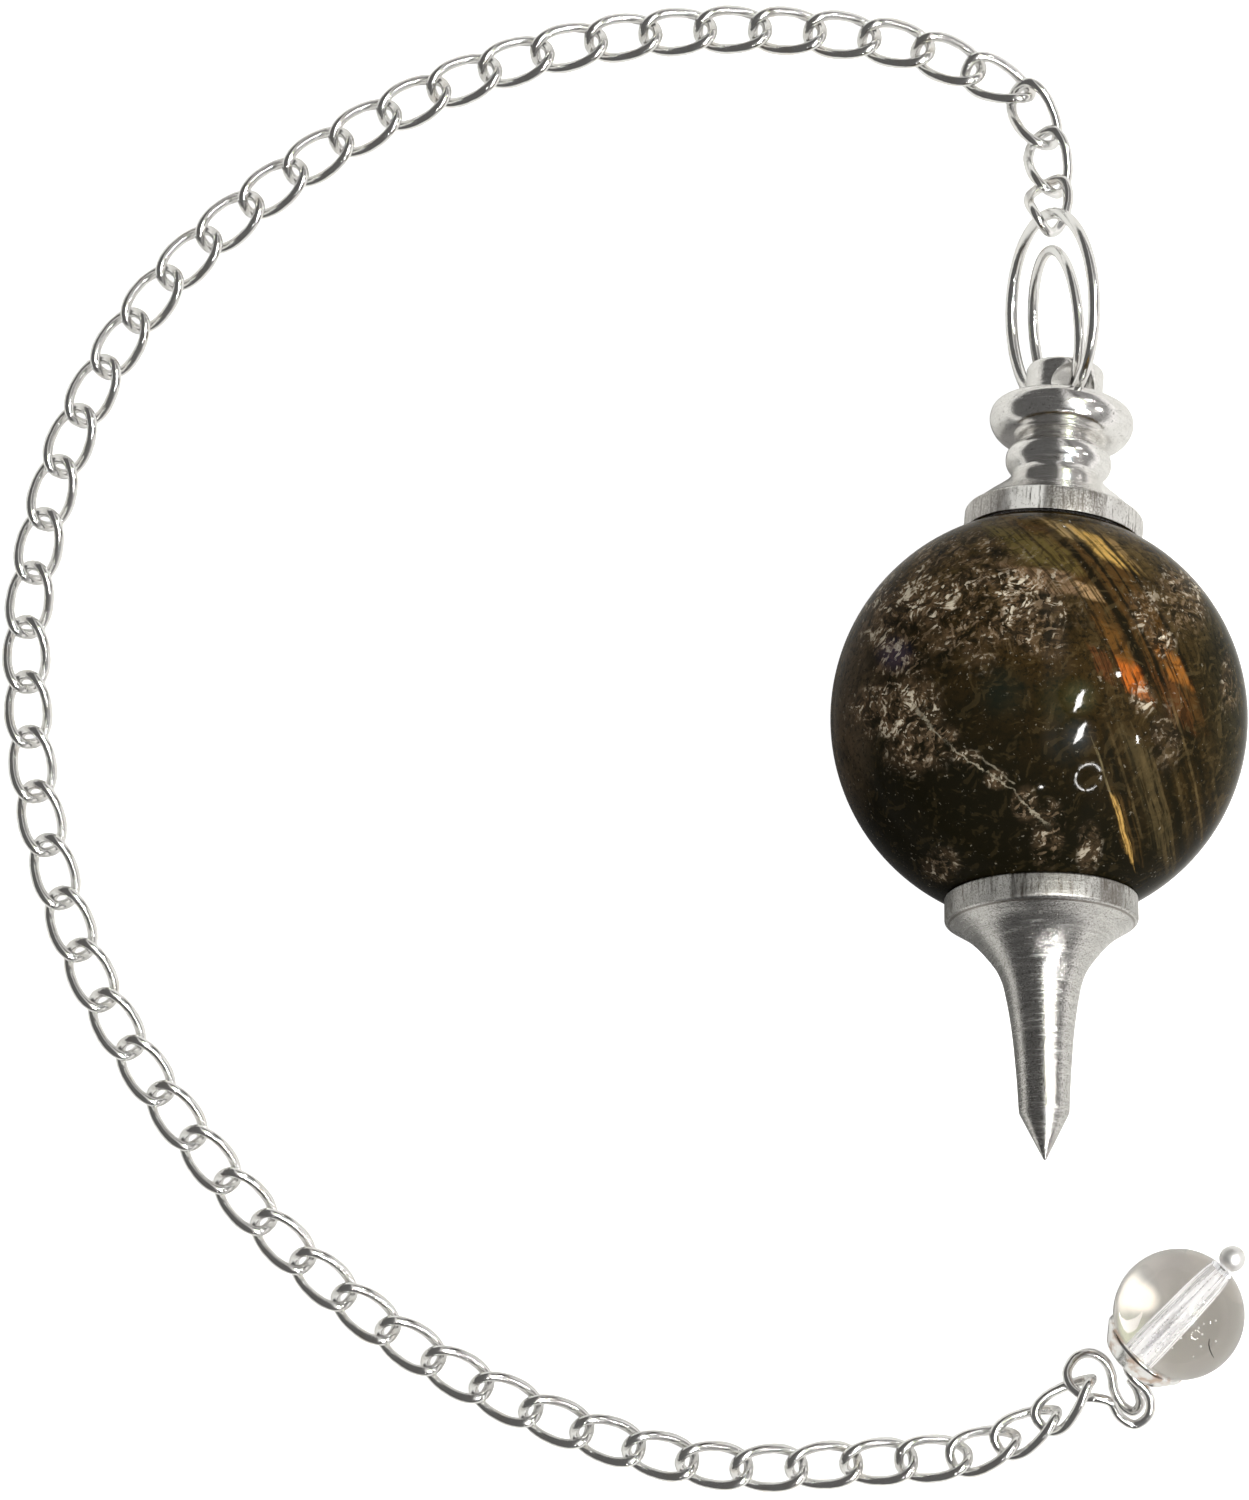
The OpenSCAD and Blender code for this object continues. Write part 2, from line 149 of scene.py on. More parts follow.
class Sheet:
    """A material's nodes, written as sums."""

    def __init__(self, name: str, owner: bpy.types.World | None = None) -> None:
        """Starts an empty sheet.

        Args:
            name: the new material's name.
            owner: a world whose nodes are written instead of a new material's.
        """
        self.material = owner or bpy.data.materials.new(name)
        self.material.use_nodes = True
        self.tree = self.material.node_tree
        self.tree.nodes.clear()

    def node(self, kind: str, **settings: object) -> bpy.types.Node:
        """Adds a node.

        Args:
            kind: the node's type.
            settings: its options by name.

        Returns:
            The new node.
        """
        made = self.tree.nodes.new(kind)
        for name, value in settings.items():
            setattr(made, name, value)
        return made

    def feed(self, socket: bpy.types.NodeSocket, value: object) -> None:
        """Sets or links a socket.

        Args:
            socket: the input to fill.
            value: a number, a colour, a tone or another socket.
        """
        if isinstance(value, Tone):
            self.tree.links.new(value.socket, socket)
        elif isinstance(value, bpy.types.NodeSocket):
            self.tree.links.new(value, socket)
        elif isinstance(value, (tuple, list)) and len(value) == 3 and len(socket.default_value) == 4:
            socket.default_value = (*value, 1.0)
        else:
            socket.default_value = value

    def maths(self, kind: Maths, *values: "Tone | float") -> Tone:
        """Adds one sum.

        Args:
            kind: which sum.
            values: its one or two numbers.

        Returns:
            The result.
        """
        made = self.node("ShaderNodeMath", operation=kind.value)
        for socket, value in zip(made.inputs, values):
            self.feed(socket, value)
        return Tone(self, made.outputs[0])

    def place(self, centre: Vector, unit: float, turn: Matrix | None = None) -> bpy.types.NodeSocket:
        """Places on the piece, measured from a centre.

        Args:
            centre: the centre in metres.
            unit: the length in metres that counts as one.
            turn: rotation whose columns are the axes to measure along.

        Returns:
            The place as a vector.
        """
        source = self.node("ShaderNodeTexCoord").outputs["Object"]
        moved = self.node("ShaderNodeVectorMath", operation="SUBTRACT")
        self.feed(moved.inputs[0], source)
        moved.inputs[1].default_value = centre
        if turn is None:
            scaled = self.node("ShaderNodeVectorMath", operation="SCALE")
            self.feed(scaled.inputs[0], moved.outputs[0])
            scaled.inputs["Scale"].default_value = 1.0 / unit
            return scaled.outputs[0]
        joined = self.node("ShaderNodeCombineXYZ")
        for column, socket in enumerate(joined.inputs):
            part = self.node("ShaderNodeVectorMath", operation="DOT_PRODUCT")
            self.feed(part.inputs[0], moved.outputs[0])
            part.inputs[1].default_value = Vector(turn.col[column][:3]) / unit
            self.feed(socket, part.outputs["Value"])
        return joined.outputs[0]

    def parts(self, place: bpy.types.NodeSocket) -> tuple[Tone, Tone, Tone]:
        """Splits a place into its three numbers.

        Args:
            place: the place as a vector.

        Returns:
            Its x, y and z.
        """
        made = self.node("ShaderNodeSeparateXYZ")
        self.feed(made.inputs[0], place)
        return tuple(Tone(self, out) for out in made.outputs)

    def joined(self, x: Tone | float, y: Tone | float, z: Tone | float) -> bpy.types.NodeSocket:
        """Joins three numbers to one place.

        Args:
            x: the first number.
            y: the second number.
            z: the third number.

        Returns:
            The place as a vector.
        """
        made = self.node("ShaderNodeCombineXYZ")
        for socket, value in zip(made.inputs, (x, y, z)):
            self.feed(socket, value)
        return made.outputs[0]

    def noise(
        self, place: bpy.types.NodeSocket | Tone, scale: float, detail: float = 2.0,
        rough: float = 0.5, warp: float = 0.0,
    ) -> Tone:
        """Soft random tone.

        Args:
            place: a vector, or one number for a pattern of lines.
            scale: how many features there are in one unit.
            detail: levels of finer features.
            rough: strength of the finer features.
            warp: how much the pattern bends itself.

        Returns:
            A tone round one half.
        """
        flat = isinstance(place, Tone)
        made = self.node("ShaderNodeTexNoise", noise_dimensions="1D" if flat else "3D")
        self.feed(made.inputs["W" if flat else "Vector"], place)
        for name, value in (("Scale", scale), ("Detail", detail), ("Roughness", rough), ("Distortion", warp)):
            made.inputs[name].default_value = value
        return Tone(self, made.outputs[0])

    def slope(
        self, place: bpy.types.NodeSocket, scale: float, detail: float, rough: float,
        warp: float, step: float,
    ) -> Tone:
        """Rise of a crumpled relief, as if it were lit from the upper left.

        Args:
            place: where the relief is read.
            scale: how many features there are in one unit.
            detail: levels of finer features.
            rough: strength of the finer features.
            warp: how much the pattern bends itself.
            step: how far apart the two readings are.

        Returns:
            A tone round zero.
        """
        moved = self.node("ShaderNodeVectorMath", operation="ADD")
        self.feed(moved.inputs[0], place)
        moved.inputs[1].default_value = (-0.7 * step, 0.7 * step, 0.0)
        there = self.noise(moved.outputs[0], scale, detail, rough, warp)
        return self.noise(place, scale, detail, rough, warp) - there

    def blend(self, first: Paint, second: Paint, share: Tone | float) -> bpy.types.NodeSocket:
        """Mixes two colours.

        Args:
            first: the colour at share zero.
            second: the colour at share one.
            share: how much of the second there is.

        Returns:
            The mixed colour.
        """
        made = self.node("ShaderNodeMix", data_type="RGBA", clamp_factor=True)
        self.feed(made.inputs[0], share)
        self.feed(made.inputs[6], first)
        self.feed(made.inputs[7], second)
        return made.outputs[2]

    def bump(
        self, height: Tone, depth: float, strength: float = 1.0,
        under: bpy.types.NodeSocket | None = None,
    ) -> bpy.types.NodeSocket:
        """Small relief.

        Args:
            height: the relief, from zero to one.
            depth: its depth in metres.
            strength: share of the relief that shows.
            under: another relief that this one lies on.

        Returns:
            The normal for the surface.
        """
        made = self.node("ShaderNodeBump")
        made.inputs["Strength"].default_value = strength
        made.inputs["Distance"].default_value = depth
        self.feed(made.inputs["Height"], height)
        if under is not None:
            self.feed(made.inputs["Normal"], under)
        return made.outputs[0]

    def finish(self, **sockets: object) -> bpy.types.Material:
        """Closes the material with one surface.

        Args:
            sockets: the surface's inputs, with underscores for spaces.

        Returns:
            The material.
        """
        surface = self.node("ShaderNodeBsdfPrincipled")
        for name, value in sockets.items():
            self.feed(surface.inputs[name.replace("_", " ")], value)
        out = self.node("ShaderNodeOutputMaterial")
        self.feed(out.inputs["Surface"], surface.outputs[0])
        return self.material


# Forms


def carry(line: Vector, origin: Vector) -> Matrix:
    """Matrix that lays a form along a line.

    Args:
        line: direction that +Z goes to.
        origin: place in metres that the form's origin goes to.

    Returns:
        The matrix.
    """
    return Matrix.Translation(origin) @ Vector((0, 0, 1)).rotation_difference(line).to_matrix().to_4x4()


def curve_points(rows: Sequence[Vector], steps: int) -> list[Vector]:
    """Smooth curve through places.

    Args:
        rows: the places.
        steps: how many pieces each stretch is cut into.

    Returns:
        The places along the curve.
    """
    ends = [2 * rows[0] - rows[1], *rows, 2 * rows[-1] - rows[-2]]
    walk = []
    for a, b, c, d in zip(ends, ends[1:], ends[2:], ends[3:]):
        for k in range(steps):
            t = k / steps
            rise, bend = (c - a) * t, (2 * a - 5 * b + 4 * c - d) * t * t
            walk.append((2 * b + rise + bend + (3 * b - a - 3 * c + d) * t**3) / 2)
    return [*walk, rows[-1].copy()]


def smooth_rows(rows: Sequence[Row], steps: int = 6) -> list[Row]:
    """Smooth run of section rows."""
    return [(p.x, p.y) for p in curve_points([Vector(row) for row in rows], steps)]


def rounded(rows: Sequence[Corner], steps: int = 5) -> list[Row]:
    """Section with rounded corners.

    Args:
        rows: radius, height and corner radius of each corner.
        steps: pieces in each rounded corner.

    Returns:
        The section's rows.
    """
    made: list[Row] = []
    for i, (radius, height, corner) in enumerate(rows):
        here = Vector((radius, height))
        if corner <= 0 or i in (0, len(rows) - 1):
            made.append((radius, height))
            continue
        back = Vector(rows[i - 1][:2]) - here
        ahead = Vector(rows[i + 1][:2]) - here
        cut = min(corner, back.length / 2, ahead.length / 2)
        start, end = here + back.normalized() * cut, here + ahead.normalized() * cut
        for k in range(steps + 1):
            t = k / steps
            spot = start * (1 - t) ** 2 + here * 2 * t * (1 - t) + end * t * t
            made.append((spot.x, spot.y))
    return made


def turned_mesh(rows: Sequence[Row], steps: int, closed: bool = False) -> bmesh.types.BMesh:
    """Turns a section round the Z axis.

    Args:
        rows: radius and height of the section, in millimetres.
        steps: faces round the form.
        closed: whether the section's end joins its start.

    Returns:
        The form, in metres, with its faces outwards.
    """
    form = bmesh.new()
    verts = [form.verts.new((r * MM, 0, h * MM)) for r, h in rows]
    pairs = list(zip(verts, verts[1:])) + ([(verts[-1], verts[0])] if closed else [])
    edges = [form.edges.new(pair) for pair in pairs]
    bmesh.ops.spin(
        form, geom=verts + edges, cent=(0, 0, 0), axis=(0, 0, 1), dvec=(0, 0, 0),
        angle=2 * math.pi, steps=steps, use_merge=True, use_duplicate=False,
    )
    bmesh.ops.remove_doubles(form, verts=form.verts[:], dist=1e-7)
    bmesh.ops.recalc_face_normals(form, faces=form.faces[:])
    return form


def wire_mesh(
    paths: Iterable[Sequence[Vector]], thickness: float, ring: bool,
    shares: Sequence[float] | None = None, roundness: int = 4,
) -> bpy.types.Mesh:
    """Round wire along paths.

    Args:
        paths: places along each wire, in metres.
        thickness: the wire's diameter in metres.
        ring: whether each wire closes on itself.
        shares: thickness at each place, as a share of the wire's.
        roundness: steps in a quarter of the wire's section.

    Returns:
        The mesh of all the wires.
    """
    curve = bpy.data.curves.new("wire", "CURVE")
    curve.dimensions = "3D"
    curve.bevel_depth = thickness / 2
    curve.bevel_resolution = roundness
    curve.use_fill_caps = not ring
    for path in paths:
        strand = curve.splines.new("POLY")
        strand.points.add(len(path) - 1)
        strand.use_cyclic_u = ring
        for i, spot in enumerate(path):
            strand.points[i].co = (*spot, 1.0)
            strand.points[i].radius = 1.0 if shares is None else shares[i]
    holder = bpy.data.objects.new("wire", curve)
    bpy.context.scene.collection.objects.link(holder)
    bpy.context.view_layer.update()
    mesh = bpy.data.meshes.new_from_object(holder.evaluated_get(bpy.context.evaluated_depsgraph_get()))
    bpy.data.objects.remove(holder)
    bpy.data.curves.remove(curve)
    return mesh


@dataclass
class Piece:
    """One finished piece, with its object at the origin and its place in its mesh."""

    name: str
    slot: Slot
    replaces: str | None
    materials: list[bpy.types.Material]
    sharp: float = 35.0

    def show(self, form: bmesh.types.BMesh | bpy.types.Mesh) -> bpy.types.Object:
        """Makes the object and ties it to the frame.

        Args:
            form: the piece's shape, in metres.

        Returns:
            The object.
        """
        if isinstance(form, bmesh.types.BMesh):
            mesh = bpy.data.meshes.new(self.name)
            form.to_mesh(mesh)
            form.free()
        else:
            mesh = form
            mesh.name = self.name
        mesh.shade_smooth()
        mesh.set_sharp_from_angle(angle=math.radians(self.sharp))
        for material in self.materials:
            mesh.materials.append(material)
        piece = bpy.data.objects.new(self.name, mesh)
        bpy.context.scene.collection.objects.link(piece)
        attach(piece, "root")
        if self.replaces:
            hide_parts(self.replaces)
        log.info("%s: %d faces", self.name, len(mesh.polygons))
        return piece


def drilled(form: bmesh.types.BMesh, cutter: bmesh.types.BMesh, edge: float) -> bmesh.types.BMesh:
    """Drills a hole and breaks its edges.

    Args:
        form: the form to drill.
        cutter: the drill's form.
        edge: width of the broken edge in metres.

    Returns:
        The drilled form.
    """
    holders = []
    for name, part in (("blank", form), ("drill", cutter)):
        mesh = bpy.data.meshes.new(name)
        part.to_mesh(mesh)
        part.free()
        holder = bpy.data.objects.new(name, mesh)
        bpy.context.scene.collection.objects.link(holder)
        holders.append(holder)
    blank, drill = holders
    cut = blank.modifiers.new("cut", "BOOLEAN")
    cut.operation = "DIFFERENCE"
    cut.object = drill
    bpy.context.view_layer.update()
    mesh = bpy.data.meshes.new_from_object(blank.evaluated_get(bpy.context.evaluated_depsgraph_get()))
    for holder in holders:
        bpy.data.objects.remove(holder)
    made = bmesh.new()
    made.from_mesh(mesh)
    bpy.data.meshes.remove(mesh)
    bmesh.ops.remove_doubles(made, verts=made.verts[:], dist=2e-6)
    bmesh.ops.dissolve_degenerate(made, edges=made.edges[:], dist=1e-6)
    rims = [e for e in made.edges if len(e.link_faces) == 2 and e.calc_face_angle() > math.radians(38)]
    bmesh.ops.bevel(
        made, geom=rims, offset=edge, offset_type="OFFSET", segments=3, profile=0.5,
        affect="EDGES", material=-1, clamp_overlap=True,
    )
    return made


# Finishes


@dataclass(frozen=True)
class Flash:
    """A patch of coloured light inside the stone, placed across the layers and by height."""

    layer: float
    height: float
    half_layer: float
    half_height: float
    colour: Colour
    amount: float = 1.0


@dataclass(frozen=True)
class Streak:
    """A thin layer seen edge-on inside the stone."""

    layer: float
    half: float
    low: float
    high: float
    amount: float


@dataclass(frozen=True)
class FleckPatch:
    """A patch of pale flakes inside the stone."""

    x: float
    y: float
    half_x: float
    half_y: float
    amount: float


@dataclass(frozen=True)
class Tint:
    """A round hint of colour on the stone; two of them are painted glows round highlights."""

    x: float
    y: float
    half: float
    colour: Colour
    amount: float


@dataclass(frozen=True)
class StoneFinish:
    """Polished dark feldspar with coloured flashes, layers, flakes and a healed crack.

    Places are shares of the ball's radius: x to the right, y towards the cap, z upwards.
    """

    black: Colour = (0.008, 0.0070, 0.0036)
    brown: Colour = (0.040, 0.0235, 0.0075)
    olive: Colour = (0.110, 0.074, 0.028)
    # The next two colours are painted reflections at the ball's right and left rims.
    rim_sheen_grey: Colour = (0.046, 0.040, 0.020)
    edge: Colour = (0.092, 0.064, 0.038)
    tan: Colour = (0.140, 0.098, 0.044)
    taupe: Colour = (0.220, 0.142, 0.082)
    flake_highlight: Colour = (0.84, 0.76, 0.61)
    vein: Colour = (0.36, 0.32, 0.24)
    flashes: tuple[Flash, ...] = (
        Flash(0.655, 0.800, 0.062, 0.085, (0.62, 0.38, 0.105)),
        Flash(0.735, 0.790, 0.020, 0.080, (0.30, 0.19, 0.075), 0.8),
        Flash(0.570, 0.885, 0.060, 0.050, (0.42, 0.29, 0.13), 0.9),
        Flash(0.413, 0.585, 0.056, 0.042, (0.44, 0.28, 0.14), 0.9),
        Flash(0.404, 0.345, 0.046, 0.095, (0.130, 0.058, 0.013), 0.9),
        Flash(0.425, 0.180, 0.054, 0.090, (0.50, 0.125, 0.018)),
        Flash(0.300, 0.240, 0.040, 0.090, (0.130, 0.046, 0.015), 0.7),
        Flash(0.650, 0.235, 0.056, 0.085, (0.27, 0.100, 0.020), 0.95),
        Flash(0.155, -0.520, 0.017, 0.145, (0.52, 0.31, 0.090)),
        Flash(0.140, -0.250, 0.008, 0.130, (0.20, 0.16, 0.085), 0.8),
        Flash(0.585, 0.076, 0.060, 0.120, (0.100, 0.038, 0.012), 0.7),
        Flash(0.175, -0.500, 0.045, 0.160, (0.110, 0.062, 0.020), 0.6),
        Flash(0.240, 0.640, 0.130, 0.060, (0.29, 0.18, 0.105), 0.75),
        Flash(0.340, 0.790, 0.130, 0.100, (0.130, 0.100, 0.030), 0.8),
        Flash(0.530, 0.470, 0.170, 0.400, (0.088, 0.042, 0.012), 0.75),
        Flash(0.330, -0.350, 0.060, 0.300, (0.090, 0.066, 0.030), 0.55),
    )
    dark_layers: tuple[Streak, ...] = (
        Streak(0.490, 0.026, 0.05, 0.95, 0.92),
        Streak(0.562, 0.011, 0.02, 0.95, 0.9),
        Streak(0.700, 0.012, 0.05, 0.98, 0.92),
        Streak(0.622, 0.006, 0.05, 0.98, 0.7),
        Streak(0.640, 0.004, 0.05, 0.40, 0.7),
        Streak(0.366, 0.007, 0.10, 0.98, 0.65),
        Streak(0.280, 0.008, 0.50, 0.98, 0.60),
        Streak(0.200, 0.014, -0.80, 0.02, 0.80),
        Streak(0.290, 0.010, -0.85, 0.00, 0.60),
        Streak(0.440, 0.020, -0.85, 0.05, 0.75),
        Streak(0.530, 0.013, -0.70, 0.10, 0.60),
        Streak(0.615, 0.020, -0.70, 0.10, 0.65),
    )
    pale_layers: tuple[Streak, ...] = (
        Streak(0.232, 0.007, -0.62, 0.04, 0.65),
        Streak(0.345, 0.012, -0.80, -0.04, 0.45),
        Streak(0.393, 0.007, -0.76, -0.08, 0.55),
        Streak(0.480, 0.008, -0.66, -0.10, 0.30),
        Streak(0.568, 0.007, -0.66, 0.16, 0.75),
        Streak(0.680, 0.009, -0.55, 0.02, 0.30),
    )
    patches: tuple[FleckPatch, ...] = (
        FleckPatch(-0.40, 0.52, 0.50, 0.26, 0.85),
        FleckPatch(-0.38, 0.76, 0.34, 0.13, 0.55),
        FleckPatch(-0.72, 0.42, 0.18, 0.25, 0.7),
        FleckPatch(-0.17, 0.60, 0.13, 0.13, 1.0),
        FleckPatch(-0.10, 0.40, 0.16, 0.13, 0.9),
        FleckPatch(-0.72, 0.03, 0.20, 0.16, 0.9),
        FleckPatch(-0.62, -0.12, 0.16, 0.14, 0.8),
        FleckPatch(-0.50, -0.10, 0.08, 0.07, 0.8),
        FleckPatch(-0.40, -0.19, 0.07, 0.05, 0.8),
        FleckPatch(-0.28, -0.28, 0.06, 0.05, 0.7),
        FleckPatch(-0.13, -0.40, 0.06, 0.08, 0.8),
        FleckPatch(-0.02, -0.54, 0.08, 0.15, 0.75),
        FleckPatch(0.51, 0.35, 0.075, 0.07, 1.0),
        FleckPatch(0.43, 0.52, 0.09, 0.12, 0.7),
        FleckPatch(0.63, 0.56, 0.14, 0.17, 0.75),
        FleckPatch(0.41, 0.08, 0.060, 0.075, 0.65),
        FleckPatch(0.52, -0.10, 0.09, 0.14, 0.30),
        FleckPatch(0.17, -0.62, 0.06, 0.12, 0.5),
        FleckPatch(-0.50, -0.70, 0.09, 0.09, 0.40),
        FleckPatch(0.86, 0.16, 0.06, 0.14, 0.5),
    )
    tints: tuple[Tint, ...] = (
        Tint(-0.725, 0.30, 0.085, (0.024, 0.022, 0.080), 0.35),
        # Painted glows round the highlights of the two slanted lamps: green round the upper, blue round the
        # lower.
        Tint(0.03, 0.08, 0.130, (0.030, 0.040, 0.014), 0.20),
        Tint(0.05, -0.12, 0.120, (0.020, 0.030, 0.032), 0.20),
        Tint(-0.24, 0.12, 0.130, (0.014, 0.026, 0.020), 0.25),
    )
    crack_start: Row = (-0.581, -0.017)
    crack_line: Row = (0.756, -0.655)

    def build(self, centre: Vector, radius: float) -> bpy.types.Material:
        """Makes the material.

        Args:
            centre: the ball's centre in metres.
            radius: its radius in metres.

        Returns:
            The material.
        """
        s = Sheet("polished_stone")
        p = s.place(centre, radius)
        x, y, z = s.parts(p)
        fine = s.noise(p, 15.0, 4.0, 0.62)
        mottle = s.noise(p, 5.5, 6.0, 0.66, 0.3)
        top = y.or_more(0.0)
        bend = (s.noise(p, 2.0, 2.0, 0.5) - 0.5) * 0.05
        layer = x + y * 0.33 + top * top * top * 0.25 + bend
        grain = s.noise(s.joined(layer * 34.0, y * 3.2, z * 3.2), 1.0, 4.0, 0.7)
        crumple_shading = s.slope(p, 8.5, 3.5, 0.60, 0.7, 0.020)

        colour = self._ground(s, p, x, y, layer, mottle, fine)
        right = layer.rise(0.12, 0.36)
        high = y.rise(-0.45, 0.30, 0.22, 1.0)
        colour = s.blend(colour, self.tan, right * high * grain.rise(0.50, 0.72) * 0.15)
        colour = s.blend(colour, self.black, right * high * grain.rise(0.36, 0.48, 1.0, 0.0) * 0.60)
        shade = layer.rise(0.30, 0.60) * abs(y - 0.12).rise(0.15, 0.55, 0.45, 0.0)
        colour = s.blend(colour, self.black, shade)
        colour = self._flashes(s, colour, layer, y, grain, mottle, fine)
        colour = s.blend(colour, self.black, self._lines(self.dark_layers, layer, y, fine))
        pale = self._lines(self.pale_layers, layer, y, fine)
        colour = s.blend(colour, self.tan, pale * fine.rise(0.34, 0.60, 0.20, 0.75))
        # Painted light and shade on the crumpled relief: the stone is darkened on the relief's shaded sides
        # and paled to tan on its lit sides, more towards the cap and the right.
        rough = (y + x * 0.4).rise(-0.5, 0.5, 0.25, 0.6)
        colour = s.blend(colour, self.black, rough * crumple_shading.rise(-0.085, -0.020, 0.8, 0.0))
        colour = s.blend(colour, self.tan, rough * crumple_shading.rise(0.030, 0.090, 0.0, 0.40))
        colour = self._flakes(s, colour, p, x, y, fine, crumple_shading)
        colour = self._crack(s, colour, p, x, y, fine)
        colour = self._tints(s, colour, x, y)

        pits = s.noise(p, 34.0, 4.0, 0.6)
        edge = Tone(s, s.node("ShaderNodeLayerWeight").outputs["Facing"])
        return s.finish(
            Base_Color=colour,
            Roughness=pits.rise(0.3, 0.8, 0.03, 0.08),
            IOR=1.40,
            Specular_IOR_Level=edge.rise(0.10, 0.31, 0.17, 0.015),
            Normal=s.bump(pits, 0.02 * MM, 0.05),
        )

    def _ground(
        self, s: Sheet, p: bpy.types.NodeSocket, x: Tone, y: Tone, layer: Tone, mottle: Tone, fine: Tone
    ) -> bpy.types.NodeSocket:
        """Makes the stone's dark ground with its brown and olive zones, and paler rims painted as
        reflections.

        Args:
            s: the material's sheet.
            p: the place in the ball.
            x: its part to the right.
            y: its part towards the cap.
            layer: the place across the layers.
            mottle: a coarse tone.
            fine: a fine tone.

        Returns:
            The ground's colour.
        """
        low = (x * 0.55 + y).rise(-0.55, 0.48, 0.04, 1.0)
        colour = s.blend(self.black, self.brown, low * (mottle * 0.6 + fine * 0.4).rise(0.34, 0.56))
        share = layer.rise(0.10, 0.50) * mottle.rise(0.34, 0.58) * y.rise(-0.3, 0.8, 0.06, 0.50)
        colour = s.blend(colour, self.olive, share)
        over = y.rise(0.45, 0.85)
        colour = s.blend(colour, self.olive, over * mottle.rise(0.34, 0.62) * 0.7)
        # Painted reflection: grey-olive towards the right rim and paler brown at the left rim, broken by the
        # stone's mottle, where the polished stone would reflect the room at a slant.
        side = (x + y * 0.12).rise(0.66, 0.94)
        share = side * mottle.rise(0.25, 0.6, 0.55, 1.0) * y.rise(-0.6, 0.1, 0.45, 1.0)
        colour = s.blend(colour, self.rim_sheen_grey, share)
        left = (x - y * 0.1).rise(-0.93, -0.76, 1.0, 0.0)
        colour = s.blend(colour, self.edge, left * mottle.rise(0.3, 0.6, 0.35, 1.0))
        pepper = s.noise(p, 42.0, 3.0, 0.7)
        return s.blend(colour, self.black, pepper.rise(0.34, 0.48, 0.75, 0.0))

    @staticmethod
    def _lines(rows: Sequence[Streak], layer: Tone, y: Tone, fine: Tone) -> Tone:
        """Shares of a set of thin layers.

        Args:
            rows: the layers.
            layer: the place across the layers.
            y: the place along them.
            fine: a fine tone that roughens their edges.

        Returns:
            The largest share at each place.
        """
        total: Tone | None = None
        for row in rows:
            off = abs(layer - row.layer + (fine - 0.5) * (0.010 + row.half * 0.6))
            line = off.rise(row.half * 0.35, row.half * 1.5, 1.0, 0.0)
            reach = y.rise(row.low, row.low + 0.16) * y.rise(row.high - 0.16, row.high, 1.0, 0.0)
            part = line * reach * row.amount
            total = part if total is None else total.or_more(part)
        return total

    def _flakes(
        self, s: Sheet, colour: Paint, p: bpy.types.NodeSocket, x: Tone, y: Tone, fine: Tone, crumple_shading: Tone
    ) -> bpy.types.NodeSocket:
        """Adds the clouds of pale flakes, with painted light and shade on their crumpled relief.

        Args:
            s: the material's sheet.
            colour: the colour so far.
            p: the place in the ball.
            x: its part to the right.
            y: its part towards the cap.
            fine: a fine tone.
            crumple_shading: the rise of a crumpled relief, painted as light and shade.

        Returns:
            The new colour.
        """
        edge = (s.noise(p, 4.0, 4.0, 0.65) - 0.5) * 1.5
        cloud: Tone | None = None
        for row in self.patches:
            across, up = (x - row.x) / row.half_x, (y - row.y) / row.half_y
            part = (s.maths(Maths.ROOT, across * across + up * up) + edge).rise(0.45, 1.2, row.amount, 0.0)
            cloud = part if cloud is None else cloud.or_more(part)
        clots = s.noise(p, 6.0, 5.0, 0.70, 0.5)
        crumb_shading = s.slope(p, 15.0, 2.5, 0.55, 1.0, 0.014)
        fold_shading = s.slope(p, 6.0, 2.0, 0.50, 1.8, 0.026)
        colour = s.blend(colour, self.taupe, cloud * (clots * 0.6 + fine * 0.4).rise(0.40, 0.60) * 0.60)
        # Painted shade: the shaded sides of the crumpled reliefs are darkened.
        dark = crumple_shading.rise(-0.075, -0.015, 1.0, 0.0).or_more(crumb_shading.rise(-0.10, -0.04, 0.9, 0.0))
        dark = dark.or_more(fold_shading.rise(-0.12, -0.05, 1.0, 0.0))
        colour = s.blend(colour, self.black, cloud * dark * 0.85)
        # Painted light: the lit sides are paled to taupe, and to the flakes' highlight colour where the clots
        # are thick.
        pale = crumple_shading.rise(0.030, 0.080) * crumb_shading.rise(-0.02, 0.06)
        pale = pale.or_more(crumb_shading.rise(0.060, 0.110))
        pale = pale.or_more(fold_shading.rise(0.075, 0.130) * crumple_shading.rise(-0.02, 0.03))
        spots = clots.rise(0.47, 0.60, 0.05, 1.0)
        colour = s.blend(colour, self.taupe, cloud * pale * 0.55)
        colour = s.blend(colour, self.flake_highlight, cloud * pale * spots * 0.85)
        glints = s.noise(p, 46.0, 2.0, 0.6).rise(0.65, 0.71)
        return s.blend(colour, self.flake_highlight, glints * fine.rise(0.44, 0.60, 0.0, 0.55) * (cloud * 0.7 + 0.3))

